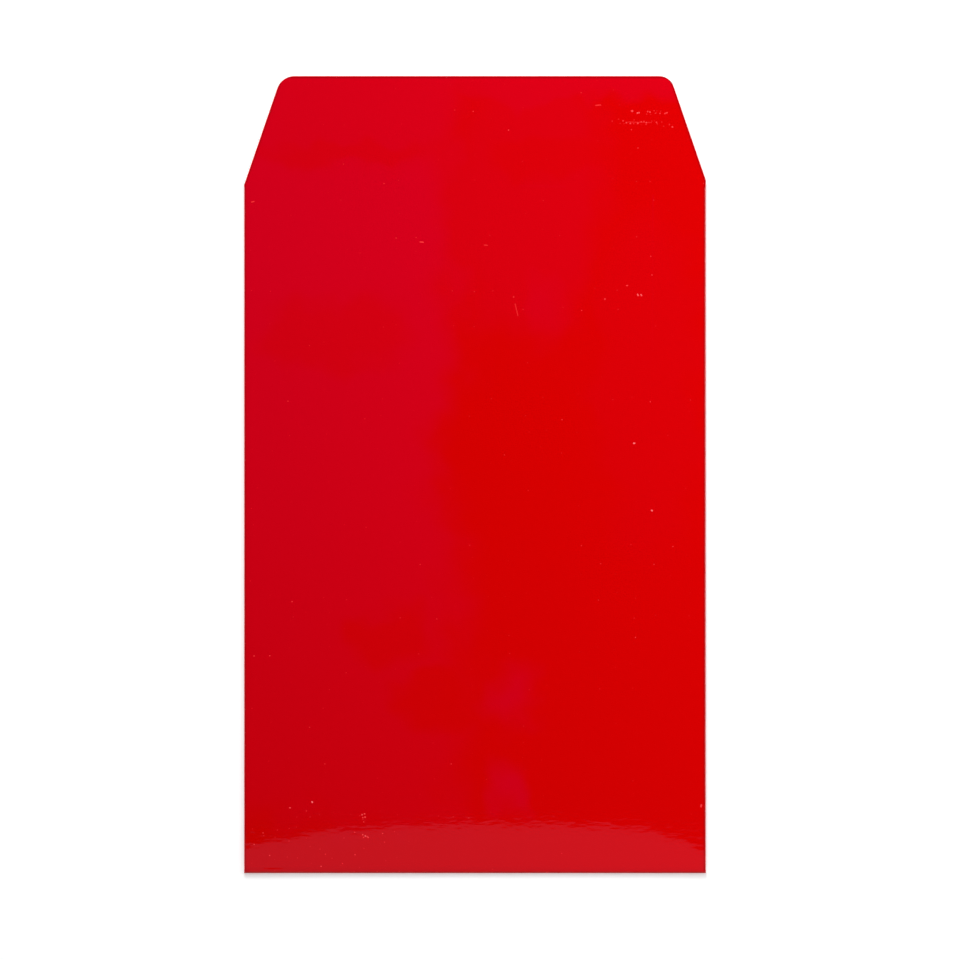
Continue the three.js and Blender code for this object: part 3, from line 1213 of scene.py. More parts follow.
@dataclass(frozen=True)
class RawBoard(Finish):
    """The board's uncoated inner face: warm grey-white fibre with darker flecks."""

    name: str = "raw_board_inside"
    base: Triple = (0.66, 0.62, 0.55)
    shade: Triple = (0.54, 0.50, 0.43)
    fleck: Triple = (0.30, 0.25, 0.19)
    flecks: Dust = Dust(3.2 * MM, 0.35 * MM, 0.35, 0.8, 1.0)
    fleck_stretch: float = 0.5
    cloud_length: float = 9 * MM
    fibre_length: float = 0.5 * MM
    fibre_stretch: float = 0.22
    fibre_colour_share: float = 0.4
    fibre_height_share: float = 0.7
    fibre_height: float = 0.012 * MM
    roughness: float = 0.78
    fibre_roughness: float = 0.15
    refraction: float = 1.45

    def inputs(self, graph: Graph, place: bpy.types.NodeSocket) -> Inputs:
        """Work out what goes into the Principled shader.

        Args:
            graph: The graph to work in.
            place: The place on the board.

        Returns:
            The shader's values and links by socket name.
        """
        cloud = graph.noise(place, self.cloud_length, 4.0, 0.6)
        fibre_place = graph.vector("MULTIPLY", place, (1.0, self.fibre_stretch, 1.0))
        fibres = graph.noise(fibre_place, self.fibre_length, 4.0, 0.65)
        shading = cloud * (1 - self.fibre_colour_share) + fibres * self.fibre_colour_share
        pulp = graph.mix(shading.eased(*NOISE_RANGE), self.base, self.shade)
        fleck_place = graph.vector("MULTIPLY", place, (1.0, self.fleck_stretch, 1.0))
        height = fibres * self.fibre_height_share + cloud * (1 - self.fibre_height_share)
        return {
            "Base Color": graph.mix(self.flecks.mask(graph, fleck_place), pulp, self.fleck),
            "Roughness": self.roughness + fibres * self.fibre_roughness,
            "IOR": self.refraction,
            "Normal": graph.bump(height, self.fibre_height),
        }


@dataclass(frozen=True)
class CutEdge(Finish):
    """The board's cut edge: pale pulp in layers under a thin red skin."""

    name: str = "cut_board_edge"
    pulp: Triple = (0.70, 0.64, 0.55)
    dark_layer: Triple = (0.50, 0.43, 0.34)
    red_skin: Triple = (0.50, 0.006, 0.012)
    skin_share: float = 0.2
    ragged_length: float = 0.5 * MM
    raggedness: float = 0.16
    layer_count: float = 3.5
    layer_share: float = 0.45
    layer_height_share: float = 0.5
    fibre_length: float = 0.12 * MM
    fibre_share: float = 0.5
    fibre_height: float = 0.02 * MM
    roughness: float = 0.85
    refraction: float = 1.45

    def inputs(self, graph: Graph, place: bpy.types.NodeSocket) -> Inputs:
        """Work out what goes into the Principled shader.

        Args:
            graph: The graph to work in.
            place: The place on the board.

        Returns:
            The shader's values and links by socket name.
        """
        depth = graph.number(graph.attribute(BOARD_DEPTH), "Fac")
        ragged = depth + (graph.noise(place, self.ragged_length, 3.0) - 0.5) * self.raggedness
        layers = graph.math("SINE", ragged * (math.tau * self.layer_count)) * 0.5 + 0.5
        fibres = graph.noise(place, self.fibre_length, 3.0, 0.7)
        shading = layers * self.layer_share + (fibres - 0.5) * self.fibre_share
        pulp = graph.mix(shading, self.pulp, self.dark_layer)
        skin = ragged.eased(1 - self.skin_share, 1 - self.skin_share / 2)
        return {
            "Base Color": graph.mix(skin, pulp, self.red_skin),
            "Roughness": self.roughness,
            "IOR": self.refraction,
            "Normal": graph.bump(fibres + layers * self.layer_height_share, self.fibre_height),
        }


@dataclass(frozen=True)
class PlainFilm(Finish):
    """A thin layer with soft clouding: dried glue, tacky adhesive or release paper."""

    name: str
    base: Triple
    cloud: Triple
    roughness: float
    cloud_length: float
    grain_length: float
    grain_height: float
    coat: float = 0.0
    coat_roughness: float = 0.12
    grain_roughness: float = 0.2
    grain_share: float = 0.3
    refraction: float = 1.46

    def inputs(self, graph: Graph, place: bpy.types.NodeSocket) -> Inputs:
        """Work out what goes into the Principled shader.

        Args:
            graph: The graph to work in.
            place: The place on the board.

        Returns:
            The shader's values and links by socket name.
        """
        clouding = graph.noise(place, self.cloud_length, 4.0, 0.6)
        grain = graph.noise(place, self.grain_length, 3.0, 0.6)
        mixed = clouding * (1 - self.grain_share) + grain * self.grain_share
        return {
            "Base Color": graph.mix(mixed.eased(*NOISE_RANGE), self.base, self.cloud),
            "Roughness": self.roughness + (grain - 0.5) * self.grain_roughness,
            "IOR": self.refraction,
            "Coat Weight": self.coat,
            "Coat Roughness": self.coat_roughness,
            "Normal": graph.bump(grain, self.grain_height),
        }


DRIED_GLUE = PlainFilm(
    "dried_seam_glue", (0.72, 0.66, 0.48), (0.60, 0.53, 0.36), 0.45, 4 * MM, 0.8 * MM, 0.02 * MM
)
TACKY_ADHESIVE = PlainFilm(
    "tacky_adhesive", (0.80, 0.74, 0.55), (0.70, 0.62, 0.42), 0.2, 6 * MM, 1.2 * MM, 0.015 * MM, 0.5
)
RELEASE_PAPER = PlainFilm(
    "release_paper", (0.88, 0.87, 0.83), (0.82, 0.81, 0.76), 0.38, 14 * MM, 0.35 * MM, 0.004 * MM, 0.3
)


# Pieces


def dress(piece: bpy.types.Object, node: str, body: str | None) -> bpy.types.Object:
    """Put a piece in the place of its CAD node.

    Args:
        piece: The new piece.
        node: The CAD node that it stands for.
        body: The body that it rides on, or None, which leaves it on no body.

    Returns:
        The piece.
    """
    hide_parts(node)
    if body is not None:
        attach(piece, body)
    log.info("%s: %d faces, for %s", piece.name, len(piece.data.polygons), node)
    return piece


@dataclass(kw_only=True)
class BoardWork:
    """What all work in board shares: the layout, the materials of its sides and its edges' sizes."""

    layout: Layout
    by_side: Sequence[bpy.types.Material]
    board_slot: str = "red_gloss_board"
    edge_softening: float = 0.05 * MM
    rim_strip: float = 0.25 * MM
    joint_strip: float = 0.05 * MM

    def board(self, shell: Shell, name: str, node: str, body: str | None) -> bpy.types.Object:
        """Build and dress one piece of board.

        Args:
            shell: The piece's shell.
            name: The piece's name.
            node: The CAD node that it stands for.
            body: The body that it rides on, or None, which leaves it on no body.

        Returns:
            The piece.
        """
        piece = shell.build(name, self.by_side, self.edge_softening)
        return dress(piece, node, body)


@dataclass(kw_only=True)
class Pocket(BoardWork):
    """The pocket's board: both panels, the folds round them and the seam tabs."""

    relief: PanelRelief
    end_step: float = 0.2 * MM
    fine_step: float = 0.6 * MM
    fine_run: float = 26 * MM
    coarse_step: float = 3 * MM
    across_step: float = 1.6 * MM
    ridge_run: float = 2.5 * MM
    ridge_step: float = 0.5 * MM
    plain_step: float = 6 * MM
    fold_steps: int = 14
    fold_step: float = 2 * MM
    slope_probe: float = 0.05 * MM
    mouth_corner_run: float = 7 * MM
    mouth_corner_drop: float = 3 * MM
    bottom_trim: float = 6 * MM
    bottom_trim_step: float = 1 * MM
    back_overlap: float = 2.5 * MM
    back_strips: int = 50
    fold_crush: float = 0.05
    crush_length: float = 14 * MM
    crush_seeds: Place = (4.1, 0.6)
    tab_mitre: float = 3.6 * MM
    tab_mitre_steps: int = 8
    tab_mitre_bow: float = 1.25
    tab_root: float = 0.3 * MM
    tab_strips: int = 10

    def build(self) -> None:
        """Build and dress every piece of the pocket."""
        self._front_panel()
        self._back_panel()
        self._bottom_fold()
        for side, sign in (("left", -1.0), ("right", 1.0)):
            self._side_fold(side, sign)
            self._seam_tab(side, sign)

    def _front_panel(self) -> bpy.types.Object:
        """Build the front panel, stepped in along the side folds.

        Returns:
            The piece.
        """
        lay = self.layout
        start, end = lay.panel_start_y + self.joint_strip, lay.crease_start_y - self.joint_strip
        side = lay.side_x - self.joint_strip
        rows = merged(
            spread(start, lay.side_start_y, self.end_step),
            spread(lay.side_start_y, start + self.fine_run, self.fine_step),
            spread(start + self.fine_run, lay.side_end_y, self.coarse_step),
            spread(lay.side_end_y, end, self.rim_strip),
        )
        inner_rim = lay.half_width - self.rim_strip
        rims = [-lay.half_width, -inner_rim, inner_rim, lay.half_width]
        ridge = spread(lay.tab_inner_x - self.ridge_run, lay.tab_inner_x + self.ridge_run, self.ridge_step)
        columns = merged(rims, spread(-side, side, self.across_step), ridge, [-x for x in ridge])

        def keeps(x: float, y: float) -> bool:
            """Leave the side folds' room out."""
            return abs(x) < side or y < lay.side_start_y or y > lay.side_end_y

        def is_joint(x: float, y: float) -> bool:
            """Tell the walls that meet a fold or the crease."""
            gaps = (abs(y - start), abs(y - end), abs(abs(x) - side))
            return min(gaps) < self.joint_strip

        plate = Plate(rows, lambda y: columns, self.relief.top, self.relief.bottom, keeps, is_joint)
        return self.board(plate.shell(), "front_board", "front_panel", "envelope")

    def _back_panel(self) -> bpy.types.Object:
        """Build the back panel, trimmed to clear the side folds, with its mouth's corners cut off.

        Returns:
            The piece.
        """
        lay = self.layout
        start = lay.panel_start_y + self.joint_strip
        _, back_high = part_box("back_panel")
        _, glue_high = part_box("right_outer_glue_line")
        inner_width = glue_high.x + self.back_overlap
        rim = 1 - self.rim_strip / inner_width
        corner_y = lay.mouth_y - self.mouth_corner_drop
        shares = merged(spread(-1.0, 1.0, 2 / self.back_strips), [-rim, rim])
        rows = merged(
            spread(start, start + self.bottom_trim, self.bottom_trim_step),
            spread(start + self.bottom_trim, corner_y, self.plain_step),
            spread(corner_y, lay.mouth_y, self.fine_step),
            [lay.mouth_y - self.rim_strip],
        )

        def columns(y: float) -> list[float]:
            """Stations across the panel.

            Args:
                y: A place along it.

            Returns:
                The stations, from its left edge to its right one.
            """
            trim = ramp(y, lay.panel_start_y, lay.panel_start_y + self.bottom_trim)
            width = back_high.x + (inner_width - back_high.x) * trim
            limit = width - self.mouth_corner_run * ramp(y, corner_y, lay.mouth_y)
            return [share * limit for share in shares]

        plate = Plate(
            rows,
            columns,
            level(lay.thickness),
            level(0.0),
            is_joint=lambda x, y: abs(y - start) < self.joint_strip,
            outer_up=False,
        )
        return self.board(plate.shell(), "back_board", "back_panel", "envelope")

    def _bottom_fold(self) -> bpy.types.Object:
        """Build the bottom fold, a half turn of the board that meets the rolled-off front panel.

        Returns:
            The piece.
        """
        half_width = self.layout.half_width
        rims = [-half_width + self.rim_strip, half_width - self.rim_strip]
        stations = merged(spread(-half_width, half_width, self.fold_step), rims)
        ribbon = Ribbon([self._bottom_section(x) for x in stations])
        return self.board(ribbon.shell(), "bottom_edge", "bottom_fold", "envelope")

    def _bottom_section(self, x: float) -> Section:
        """Bend the board half way round at one place across.

        Args:
            x: The place.

        Returns:
            The outer and the inner path, from the front panel to the back one.
        """
        lay = self.layout
        radius = lay.panel_start_y - lay.bottom_y
        joint_y = lay.panel_start_y + self.joint_strip
        crown = self.relief.top(x, lay.panel_start_y)
        slope = (self.relief.top(x, lay.panel_start_y + self.slope_probe) - crown) / self.slope_probe

        def bent(inset: float, start_z: float) -> list[Vector]:
            """Follow one face of the board round the fold.

            Args:
                inset: How far the face lies inside the outer one.
                start_z: Its height where the front panel joins on.

            Returns:
                The path.
            """
            path = [Vector((x, joint_y, start_z))]
            for angle in fold_angles(self.fold_steps):
                lean = slope * radius * math.cos(angle) * (1 + math.sin(angle)) / 2
                depth = (radius - inset) * math.cos(angle)
                height = crown / 2 + (crown / 2 - inset) * math.sin(angle) - lean
                path.append(Vector((x, lay.panel_start_y - depth, height)))
            return [*path, Vector((x, joint_y, inset))]

        return bent(0.0, self.relief.top(x, joint_y)), bent(lay.thickness, self.relief.bottom(x, joint_y))

    def _side_fold(self, side: str, sign: float) -> bpy.types.Object:
        """Build one side fold, the board folded dead flat on itself.

        Args:
            side: Its name.
            sign: -1 for the left one and 1 for the right one.

        Returns:
            The piece.
        """
        lay = self.layout
        rows = merged(
            spread(lay.side_start_y, lay.side_start_y + self.fine_run, self.fine_step),
            spread(lay.side_start_y + self.fine_run, lay.side_end_y, self.coarse_step),
            [lay.side_end_y - self.rim_strip],
        )
        ribbon = Ribbon([self._side_section(sign, y) for y in rows], solid=True)
        return self.board(ribbon.shell(), f"{side}_folded_edge", f"{side}_side_fold", "envelope")

    def _side_section(self, sign: float, y: float) -> Section:
        """Round a side fold's back at one place along it.

        Args:
            sign: -1 for the left fold and 1 for the right one.
            y: The place.

        Returns:
            The path round the back, and the points between its ends on the straight line that closes it.
        """
        lay = self.layout
        crown = self.relief.top(sign * lay.side_x, y)
        across_seed, height_seed = self.crush_seeds
        crushing = noise.noise(Vector((sign * across_seed, y / self.crush_length, height_seed)))
        radius = (lay.half_width - lay.side_x) * (1 - self.fold_crush * (0.5 + 0.5 * crushing))
        joint_x = sign * (lay.side_x - self.joint_strip)
        start_z = self.relief.top(joint_x, y)
        outer = [Vector((joint_x, y, start_z))]
        for angle in fold_angles(self.fold_steps):
            reach = sign * (lay.side_x + radius * math.cos(angle))
            height = (crown + lay.tab_base) / 2 + (crown - lay.tab_base) / 2 * math.sin(angle)
            outer.append(Vector((reach, y, height)))
        outer.append(Vector((joint_x, y, lay.tab_base)))
        count = len(outer) - 1
        shares = [step / count for step in range(1, count)]
        closing = [Vector((joint_x, y, start_z + (lay.tab_base - start_z) * share)) for share in shares]
        return outer, closing

    def _seam_tab(self, side: str, sign: float) -> bpy.types.Object:
        """Build one seam tab, with its ends slanting back from the fold.

        Args:
            side: Its name.
            sign: -1 for the left one and 1 for the right one.

        Returns:
            The piece.
        """
        lay = self.layout
        low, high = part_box(f"{side}_seam_tab")
        inner_x = min(abs(low.x), abs(high.x))
        root_x = lay.side_x - self.joint_strip
        tip_x = root_x - self.tab_root
        mitre, mitre_step = self.tab_mitre, self.tab_mitre / self.tab_mitre_steps
        rows = merged(
            spread(lay.side_start_y, lay.side_start_y + mitre, mitre_step),
            spread(lay.side_start_y + mitre, lay.side_end_y - mitre, self.plain_step),
            spread(lay.side_end_y - mitre, lay.side_end_y, mitre_step),
        )

        def columns(y: float) -> list[float]:
            """Stations from the tab's inner edge to the fold.

            Args:
                y: A place along the tab.

            Returns:
                The stations, always rising along X.
            """
            near_end = min(y - lay.side_start_y, lay.side_end_y - y)
            rounded = 1 - (1 - ramp(near_end, 0.0, mitre)) ** self.tab_mitre_bow
            limit = tip_x + (inner_x - tip_x) * rounded
            places = [limit + (root_x - limit) * share for share in spread(0.0, 1.0, 1 / self.tab_strips)]
            return places if sign > 0 else [-place for place in reversed(places)]

        plate = Plate(
            rows,
            columns,
            lambda x, y: min(lay.front_base, self.relief.bottom(x, y)),
            level(lay.tab_base),
            is_joint=lambda x, y: abs(abs(x) - root_x) < self.joint_strip,
            outer_up=False,
        )
        return self.board(plate.shell(), f"{side}_tab_board", f"{side}_seam_tab", "envelope")


@dataclass(kw_only=True)
class Closure(BoardWork):
    """The flap's board: the scored crease and the flap, with its slanted sides and rounded tip corners."""

    left_corner_radius: float = 6.1 * MM
    right_corner_radius: float = 5.1 * MM
    corner_steps: int = 16
    flap_strips: int = 64
    flap_step: float = 2 * MM
    crease_step: float = 0.09 * MM
    groove_width: float = 0.9 * MM
    groove_depth: float = 0.006 * MM
    bead_width: float = 1.1 * MM
    bead_height: float = 0.16 * MM
    waviness: float = 0.03 * MM
    wave_length: float = 30 * MM
    wave_seed: float = 8.8
    wave_run: float = 12 * MM

    def build(self) -> None:
        """Build and dress the crease and the flap."""
        self._crease()
        self._flap()

    def _across(self, left: float, right: float) -> list[float]:
        """Place stations across the flap.

        Args:
            left: The distance from the middle to the left edge.
            right: The distance from the middle to the right edge.

        Returns:
            The stations, from the left edge to the right one.
        """
        rim = 1 - self.rim_strip / self.layout.tip_half_width
        shares = merged(spread(-1.0, 1.0, 2 / self.flap_strips), [-rim, rim])
        return [share * (left if share < 0 else right) for share in shares]

    def _swelling(self, y: float, width: float) -> float:
        """Rise and fall once over the middle of the crease.

        Args:
            y: A place along the crease band.
            width: How wide the swelling is.

        Returns:
            A share from 0 beside the swelling to 1 on its top.
        """
        distance = min(abs(y - self.layout.crease_y), width / 2)
        return 0.5 + 0.5 * math.cos(math.tau * distance / width)

    def _crease(self) -> bpy.types.Object:
        """Build the scored band between the envelope and the flap.

        Returns:
            The piece.
        """
        lay = self.layout
        start, end = lay.crease_start_y - self.joint_strip, lay.crease_end_y + self.joint_strip
        near_rows = spread(start, lay.crease_y, self.crease_step)
        plate = Plate(
            merged(near_rows, spread(lay.crease_y, end, self.crease_step)),
            lambda y: self._across(lay.half_width_at(y, -1.0), lay.half_width_at(y, 1.0)),
            lambda x, y: lay.top - self.groove_depth * self._swelling(y, self.groove_width),
            lambda x, y: lay.front_base - self.bead_height * self._swelling(y, self.bead_width),
            is_joint=lambda x, y: y < start + self.joint_strip or y > end - self.joint_strip,
        )
        piece = self.board(plate.shell(), "crease_band", "flap_crease", None)
        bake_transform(piece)
        return piece

    def _limit(self, y: float, sign: float) -> float:
        """Measure from the middle to the flap's edge, its tip corner rounded.

        Args:
            y: A place along the flap.
            sign: -1 for the left edge and 1 for the right one.

        Returns:
            The distance.
        """
        lay = self.layout
        radius = self.left_corner_radius if sign < 0 else self.right_corner_radius
        slant = math.atan(lay.taper)
        centre_y = lay.tip_y - radius
        if y <= centre_y + radius * math.sin(slant):
            return lay.half_width_at(y, sign)
        centre_x = lay.half_width_at(centre_y, sign) - radius / math.cos(slant)
        return centre_x + math.sqrt(max(0.0, radius**2 - (y - centre_y) ** 2))

    def _flap(self) -> bpy.types.Object:
        """Build the flap.

        Returns:
            The piece.
        """
        lay = self.layout
        start = lay.crease_end_y + self.joint_strip
        corner_run = max(self.left_corner_radius, self.right_corner_radius)
        rows = merged(
            spread(start, lay.tip_y - corner_run, self.flap_step),
            [lay.tip_y - corner_run * share for share in rounding(self.corner_steps)],
            [lay.tip_y - self.rim_strip],
        )

        def rise(x: float, y: float) -> float:
            """Height of the flap's slight waves, none at the crease."""
            place = Vector((x / self.wave_length, y / self.wave_length, self.wave_seed))
            return self.waviness * noise.noise(place) * ease(y, start, start + self.wave_run)

        plate = Plate(
            rows,
            lambda y: self._across(self._limit(y, -1.0), self._limit(y, 1.0)),
            lambda x, y: lay.top + rise(x, y),
            lambda x, y: lay.front_base + rise(x, y),
            is_joint=lambda x, y: y < start + self.joint_strip,
        )
        return self.board(plate.shell(), "flap_board", "closure_flap", "flap")


@dataclass
class Bonding:
    """What sticks: the seam's glue lines, the flap's adhesive and its release liner."""

    glue: bpy.types.Material
    adhesive: bpy.types.Material
    paper: bpy.types.Material
    edge_wander: float = 0.15 * MM
    wander_length: float = 3 * MM
    wander_seed_scale: float = 10.0
    other_edge_seed: float = 5.0
    glue_end_steps: int = 8
    glue_step: float = 2.5 * MM
    glue_strips: int = 6
    adhesive_strips: int = 12
    adhesive_step: float = 2 * MM
    adhesive_ripple: float = 0.015 * MM
    ripple_length: float = 2.5 * MM
    adhesive_softening: float = 0.015 * MM
    liner_corner_radius: float = 1 * MM
    liner_corner_steps: int = 6
    liner_step: float = 2 * MM
    liner_strips: int = 88
    lift_length: float = 8 * MM
    lift_curl: float = 0.09 * MM

    def build(self) -> None:
        """Build and dress every glued or sticky piece."""
        for side in ("left", "right"):
            for row in ("inner", "outer"):
                self._glue_line(f"{side}_{row}_glue_line", f"{side}_{row}_glue_bead")
        self._adhesive_strip()
        self._release_liner()

    def _wander(self, along: float, seed: float) -> float:
        """How far an edge strays at a place along it."""
        return self.edge_wander * noise.noise(Vector((along / self.wander_length, seed, 0.0)))

    def _glue_line(self, node: str, name: str) -> bpy.types.Object:
        """Build one pressed line of seam glue, with round ends and wandering edges.

        Args:
            node: The CAD node that it stands for.
            name: The piece's name.

        Returns:
            The piece.
        """
        low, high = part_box(node)
        middle_x, half_width = (low.x + high.x) / 2, (high.x - low.x) / 2 - self.edge_wander
        seed = self.wander_seed_scale * middle_x / MM
        shares = spread(-1.0, 1.0, 2 / self.glue_strips)
        ends = [half_width * share for share in rounding(self.glue_end_steps)[1:]]
        rows = merged(
            [low.y + end for end in ends],
            spread(low.y + half_width, high.y - half_width, self.glue_step),
            [high.y - end for end in ends],
        )

        def columns(y: float) -> list[float]:
            """Stations across the line.

            Args:
                y: A place along it.

            Returns:
                The stations, from its left edge to its right one.
            """
            near_end = min(y - low.y, high.y - y, half_width)
            round_share = math.sqrt(max(0.0, 1 - (1 - near_end / half_width) ** 2))
            edge_seeds = (seed, seed + self.other_edge_seed)
            left, right = [(half_width + self._wander(y, edge)) * round_share for edge in edge_seeds]
            return [middle_x + share * (left if share < 0 else right) for share in shares]

        plate = Plate(rows, columns, level(high.z), level(low.z))
        piece = plate.shell().build(name, [self.glue] * len(Side), 0.0)
        return dress(piece, node, "envelope")

    def _adhesive_strip(self) -> bpy.types.Object:
        """Build the band of adhesive on the flap's inner face.

        Returns:
            The piece.
        """
        low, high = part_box("flap_adhesive_strip")
        middle_y, half_width = (low.y + high.y) / 2, (high.y - low.y) / 2 - self.edge_wander
        rows = [middle_y + share * half_width for share in spread(-1.0, 1.0, 2 / self.adhesive_strips)]
        places = spread(low.x, high.x, self.adhesive_step)

        def underside(x: float, y: float) -> float:
            """Height of the adhesive's rippled face."""
            ripple = (1 - noise.noise(Vector((x, y, 0.0)) / self.ripple_length)) / 2
            return low.z + self.adhesive_ripple * ripple

        shell = Plate(rows, lambda y: places, level(high.z), underside).shell()
        piece = shell.build("tacky_band", [self.adhesive] * len(Side), self.adhesive_softening)
        return dress(piece, "flap_adhesive_strip", "flap")

    def _release_liner(self) -> bpy.types.Object:
        """Build the release liner, with rounded corners and a slightly curled dry end.

        Returns:
            The piece.
        """
        low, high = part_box("release_liner")
        radius, middle_x = self.liner_corner_radius, (low.x + high.x) / 2
        turn = [radius * share for share in rounding(self.liner_corner_steps)]
        shares = spread(-1.0, 1.0, 2 / self.liner_strips)
        rows = merged(
            [low.y + inset for inset in turn],
            spread(low.y + radius, high.y - radius, self.liner_step),
            [high.y - inset for inset in turn],
        )

        def columns(y: float) -> list[float]:
            """Stations along the liner between its rounded ends.

            Args:
                y: A place across it.

            Returns:
                The stations, from its left end to its right one.
            """
            near_edge = min(y - low.y, high.y - y, radius)
            inset = radius - math.sqrt(max(0.0, radius**2 - (radius - near_edge) ** 2))
            half_length = (high.x - low.x) / 2 - inset
            return [middle_x + share * half_length for share in shares]

        def curl(x: float) -> float:
            """How far the dry end bends away from the flap, the full curl at its very end."""
            return self.lift_curl * ease(x, high.x - self.lift_length, high.x + self.lift_length) * 2

        plate = Plate(
            rows, columns, lambda x, y: high.z - curl(x), lambda x, y: low.z - curl(x), outer_up=False
        )
        piece = plate.shell().build("peel_liner", [self.paper] * len(Side), 0.0)
        return dress(piece, "release_liner", "liner")


# Stage, light and camera


@dataclass(frozen=True)
class Stage:
    """A white sweep of floor that keeps the envelope's shadow and blends into a white surround."""

    radius: float = 7.0
    segments: int = 96
    clearance: float = 0.02 * MM
    near_radius: float = 0.17
    far_radius: float = 0.6
    albedo: float = 0.88
    near_glow: float = 0.27
    far_glow: float = 0.75

    def build(self) -> bpy.types.Object:
        """Build the floor.

        Returns:
            The floor's object.
        """
        work = bmesh.new()
        bmesh.ops.create_circle(work, cap_ends=True, segments=self.segments, radius=self.radius)
        mesh = bpy.data.meshes.new("floor")
        work.to_mesh(mesh)
        work.free()
        mesh.materials.append(self._material())
        floor = bpy.data.objects.new("floor", mesh)
        floor.location.z = -self.clearance
        bpy.context.scene.collection.objects.link(floor)
        return floor

    def _material(self) -> bpy.types.Material:
        """Make the floor's material, which glows for what looks at it and lights nothing.

        Returns:
            The finished material.
        """
        material = bpy.data.materials.new("white_floor")
        material.use_nodes = True
        graph = Graph(material.node_tree)
        place = graph.add("ShaderNodeTexCoord").outputs["Object"]
        away = graph.measure("LENGTH", place).eased(self.near_radius, self.far_radius)
        paths = graph.add("ShaderNodeLightPath")
        rays = ("Is Camera Ray", "Is Glossy Ray", "Is Transmission Ray")
        looking = strongest([graph.number(paths, ray) for ray in rays])
        glow = (away * (self.far_glow - self.near_glow) + self.near_glow) * looking
        graph.finish(
            {
                "Base Color": (self.albedo, self.albedo, self.albedo, 1.0),
                "Roughness": 1.0,
                "Specular IOR Level": 0.0,
                "Emission Color": graph.mix(glow, BLACK, WHITE),
                "Emission Strength": 1.0,
            }
        )
        return material


@dataclass(frozen=True)
class SoftLamp:
    """A round soft lamp turned to the envelope."""

    name: str
    place: Triple
    size: float
    power: float


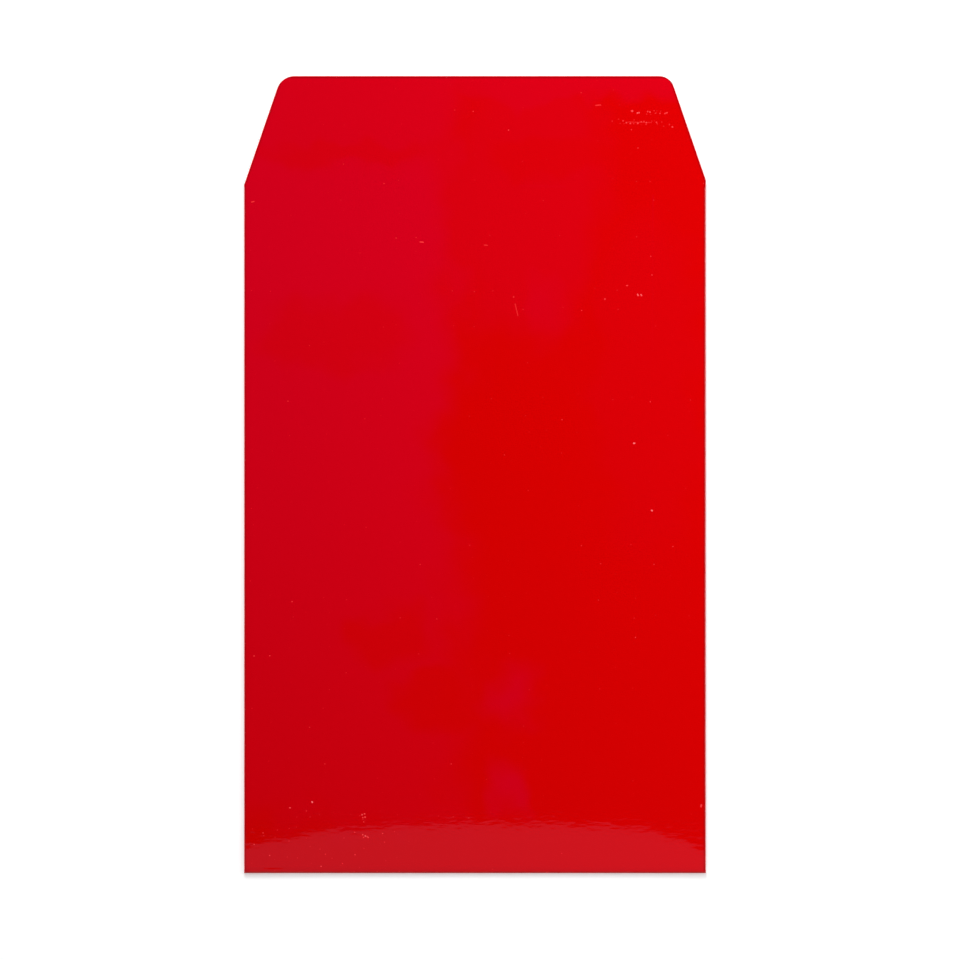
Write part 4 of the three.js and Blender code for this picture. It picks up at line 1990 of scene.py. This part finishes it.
@dataclass(frozen=True)
class Studio:
    """Soft studio light: a white horizon, a grey wall, a bright band, a dark ceiling, lamps and a card."""

    horizon_top: float = 5.0
    wall_foot: float = 18.0
    wall_top: float = 25.0
    band_foot: float = 38.0
    band_top: float = 42.0
    ceiling_edge: float = 65.0
    wall_strength: float = 0.45
    band_strength: float = 0.97
    band_lean: float = 0.8
    key: SoftLamp = SoftLamp("key_lamp", (-0.1, 1.05, 0.6), 0.4, 11.06)
    fill: SoftLamp = SoftLamp("fill_lamp", (0.4, 0.05, 0.45), 0.4, 0.72)
    card_height: float = 1.5
    card_near_y: float = -0.226
    card_size: Place = (0.9, 0.55)
    card_power: float = 0.50
    card_tint: Triple = (0.62, 0.58, 1.0)

    def build(self) -> None:
        """Set the surround and hang the lamps and the card."""
        self._surround()
        for soft_lamp in (self.key, self.fill):
            lamp = self._area(soft_lamp.name, soft_lamp.power, WHITE, soft_lamp.place)
            lamp.data.shape = "DISK"
            lamp.data.size = soft_lamp.size
            lamp.rotation_mode = "QUATERNION"
            lamp.rotation_quaternion = Vector(soft_lamp.place).to_track_quat("Z", "Y")
        middle_y = self.card_near_y - self.card_size[1] / 2
        card = self._area("dim_card", self.card_power, self.card_tint, (0.0, middle_y, self.card_height))
        card.data.shape = "RECTANGLE"
        card.data.size, card.data.size_y = self.card_size

    def _area(self, name: str, power: float, colour: Triple, place: Triple) -> bpy.types.Object:
        """Hang one area lamp that the camera doesn't see.

        Args:
            name: Its name.
            power: Its power.
            colour: Its colour.
            place: Where it hangs.

        Returns:
            The lamp's object.
        """
        data = bpy.data.lights.new(name, "AREA")
        data.energy = power
        data.color = colour
        lamp = bpy.data.objects.new(name, data)
        lamp.location = place
        lamp.visible_camera = False
        bpy.context.scene.collection.objects.link(lamp)
        return lamp

    def _surround(self) -> None:
        """Fill the world in rings of light by their angle above the floor."""
        world = bpy.data.worlds.new("studio")
        world.use_nodes = True
        bpy.context.scene.world = world
        graph = Graph(world.node_tree)
        direction = graph.add("ShaderNodeTexCoord").outputs["Generated"]
        _, along, height = graph.axes(direction)

        def above(low: float, high: float) -> Shade:
            """Rise from 0 to 1 between two angles, or fall where the first is the higher."""
            return height.eased(math.sin(math.radians(low)), math.sin(math.radians(high)))

        horizon = above(self.wall_foot, self.horizon_top) * (1 - self.wall_strength)
        leaning = along * self.band_lean + 1
        band = above(self.wall_top, self.band_foot) * leaning * (self.band_strength - self.wall_strength)
        light = (horizon + band + self.wall_strength) * above(self.ceiling_edge, self.band_top)
        background = graph.add("ShaderNodeBackground", inputs={"Color": (*WHITE, 1.0), "Strength": light})
        graph.add("ShaderNodeOutputWorld", inputs={"Surface": background.outputs["Background"]})


@dataclass(frozen=True)
class Viewpoint:
    """The camera: straight above, with the flap's tip at the top of the picture."""

    layout: Layout
    height: float = 2.0
    centre: Place = (1.67 * MM, -1.75 * MM)
    framed_width: float = 317.62 * MM
    sensor_width: float = 36.0
    farthest: float = 20.0

    def build(self) -> bpy.types.Object:
        """Set up the camera.

        Returns:
            The camera's object.
        """
        data = bpy.data.cameras.new("camera")
        data.sensor_width = self.sensor_width
        data.lens = self.sensor_width * (self.height - self.layout.top) / self.framed_width
        data.clip_end = self.farthest
        camera = bpy.data.objects.new("camera", data)
        camera.location = (*self.centre, self.height)
        bpy.context.scene.collection.objects.link(camera)
        bpy.context.scene.camera = camera
        return camera


def main() -> None:
    """Build the envelope, then its stage, light and camera."""
    logging.basicConfig(level=logging.INFO, format="%(name)s: %(message)s")
    bpy.context.scene.view_settings.view_transform = "Standard"
    layout = Layout.from_frame()
    Viewpoint(layout).build()
    by_side = [finish.material() for finish in (GlossRed(layout), RawBoard(), CutEdge())]
    Pocket(layout=layout, by_side=by_side, relief=PanelRelief(layout)).build()
    Closure(layout=layout, by_side=by_side).build()
    Bonding(DRIED_GLUE.material(), TACKY_ADHESIVE.material(), RELEASE_PAPER.material()).build()
    Stage().build()
    Studio().build()


if __name__ == "__main__":
    main()
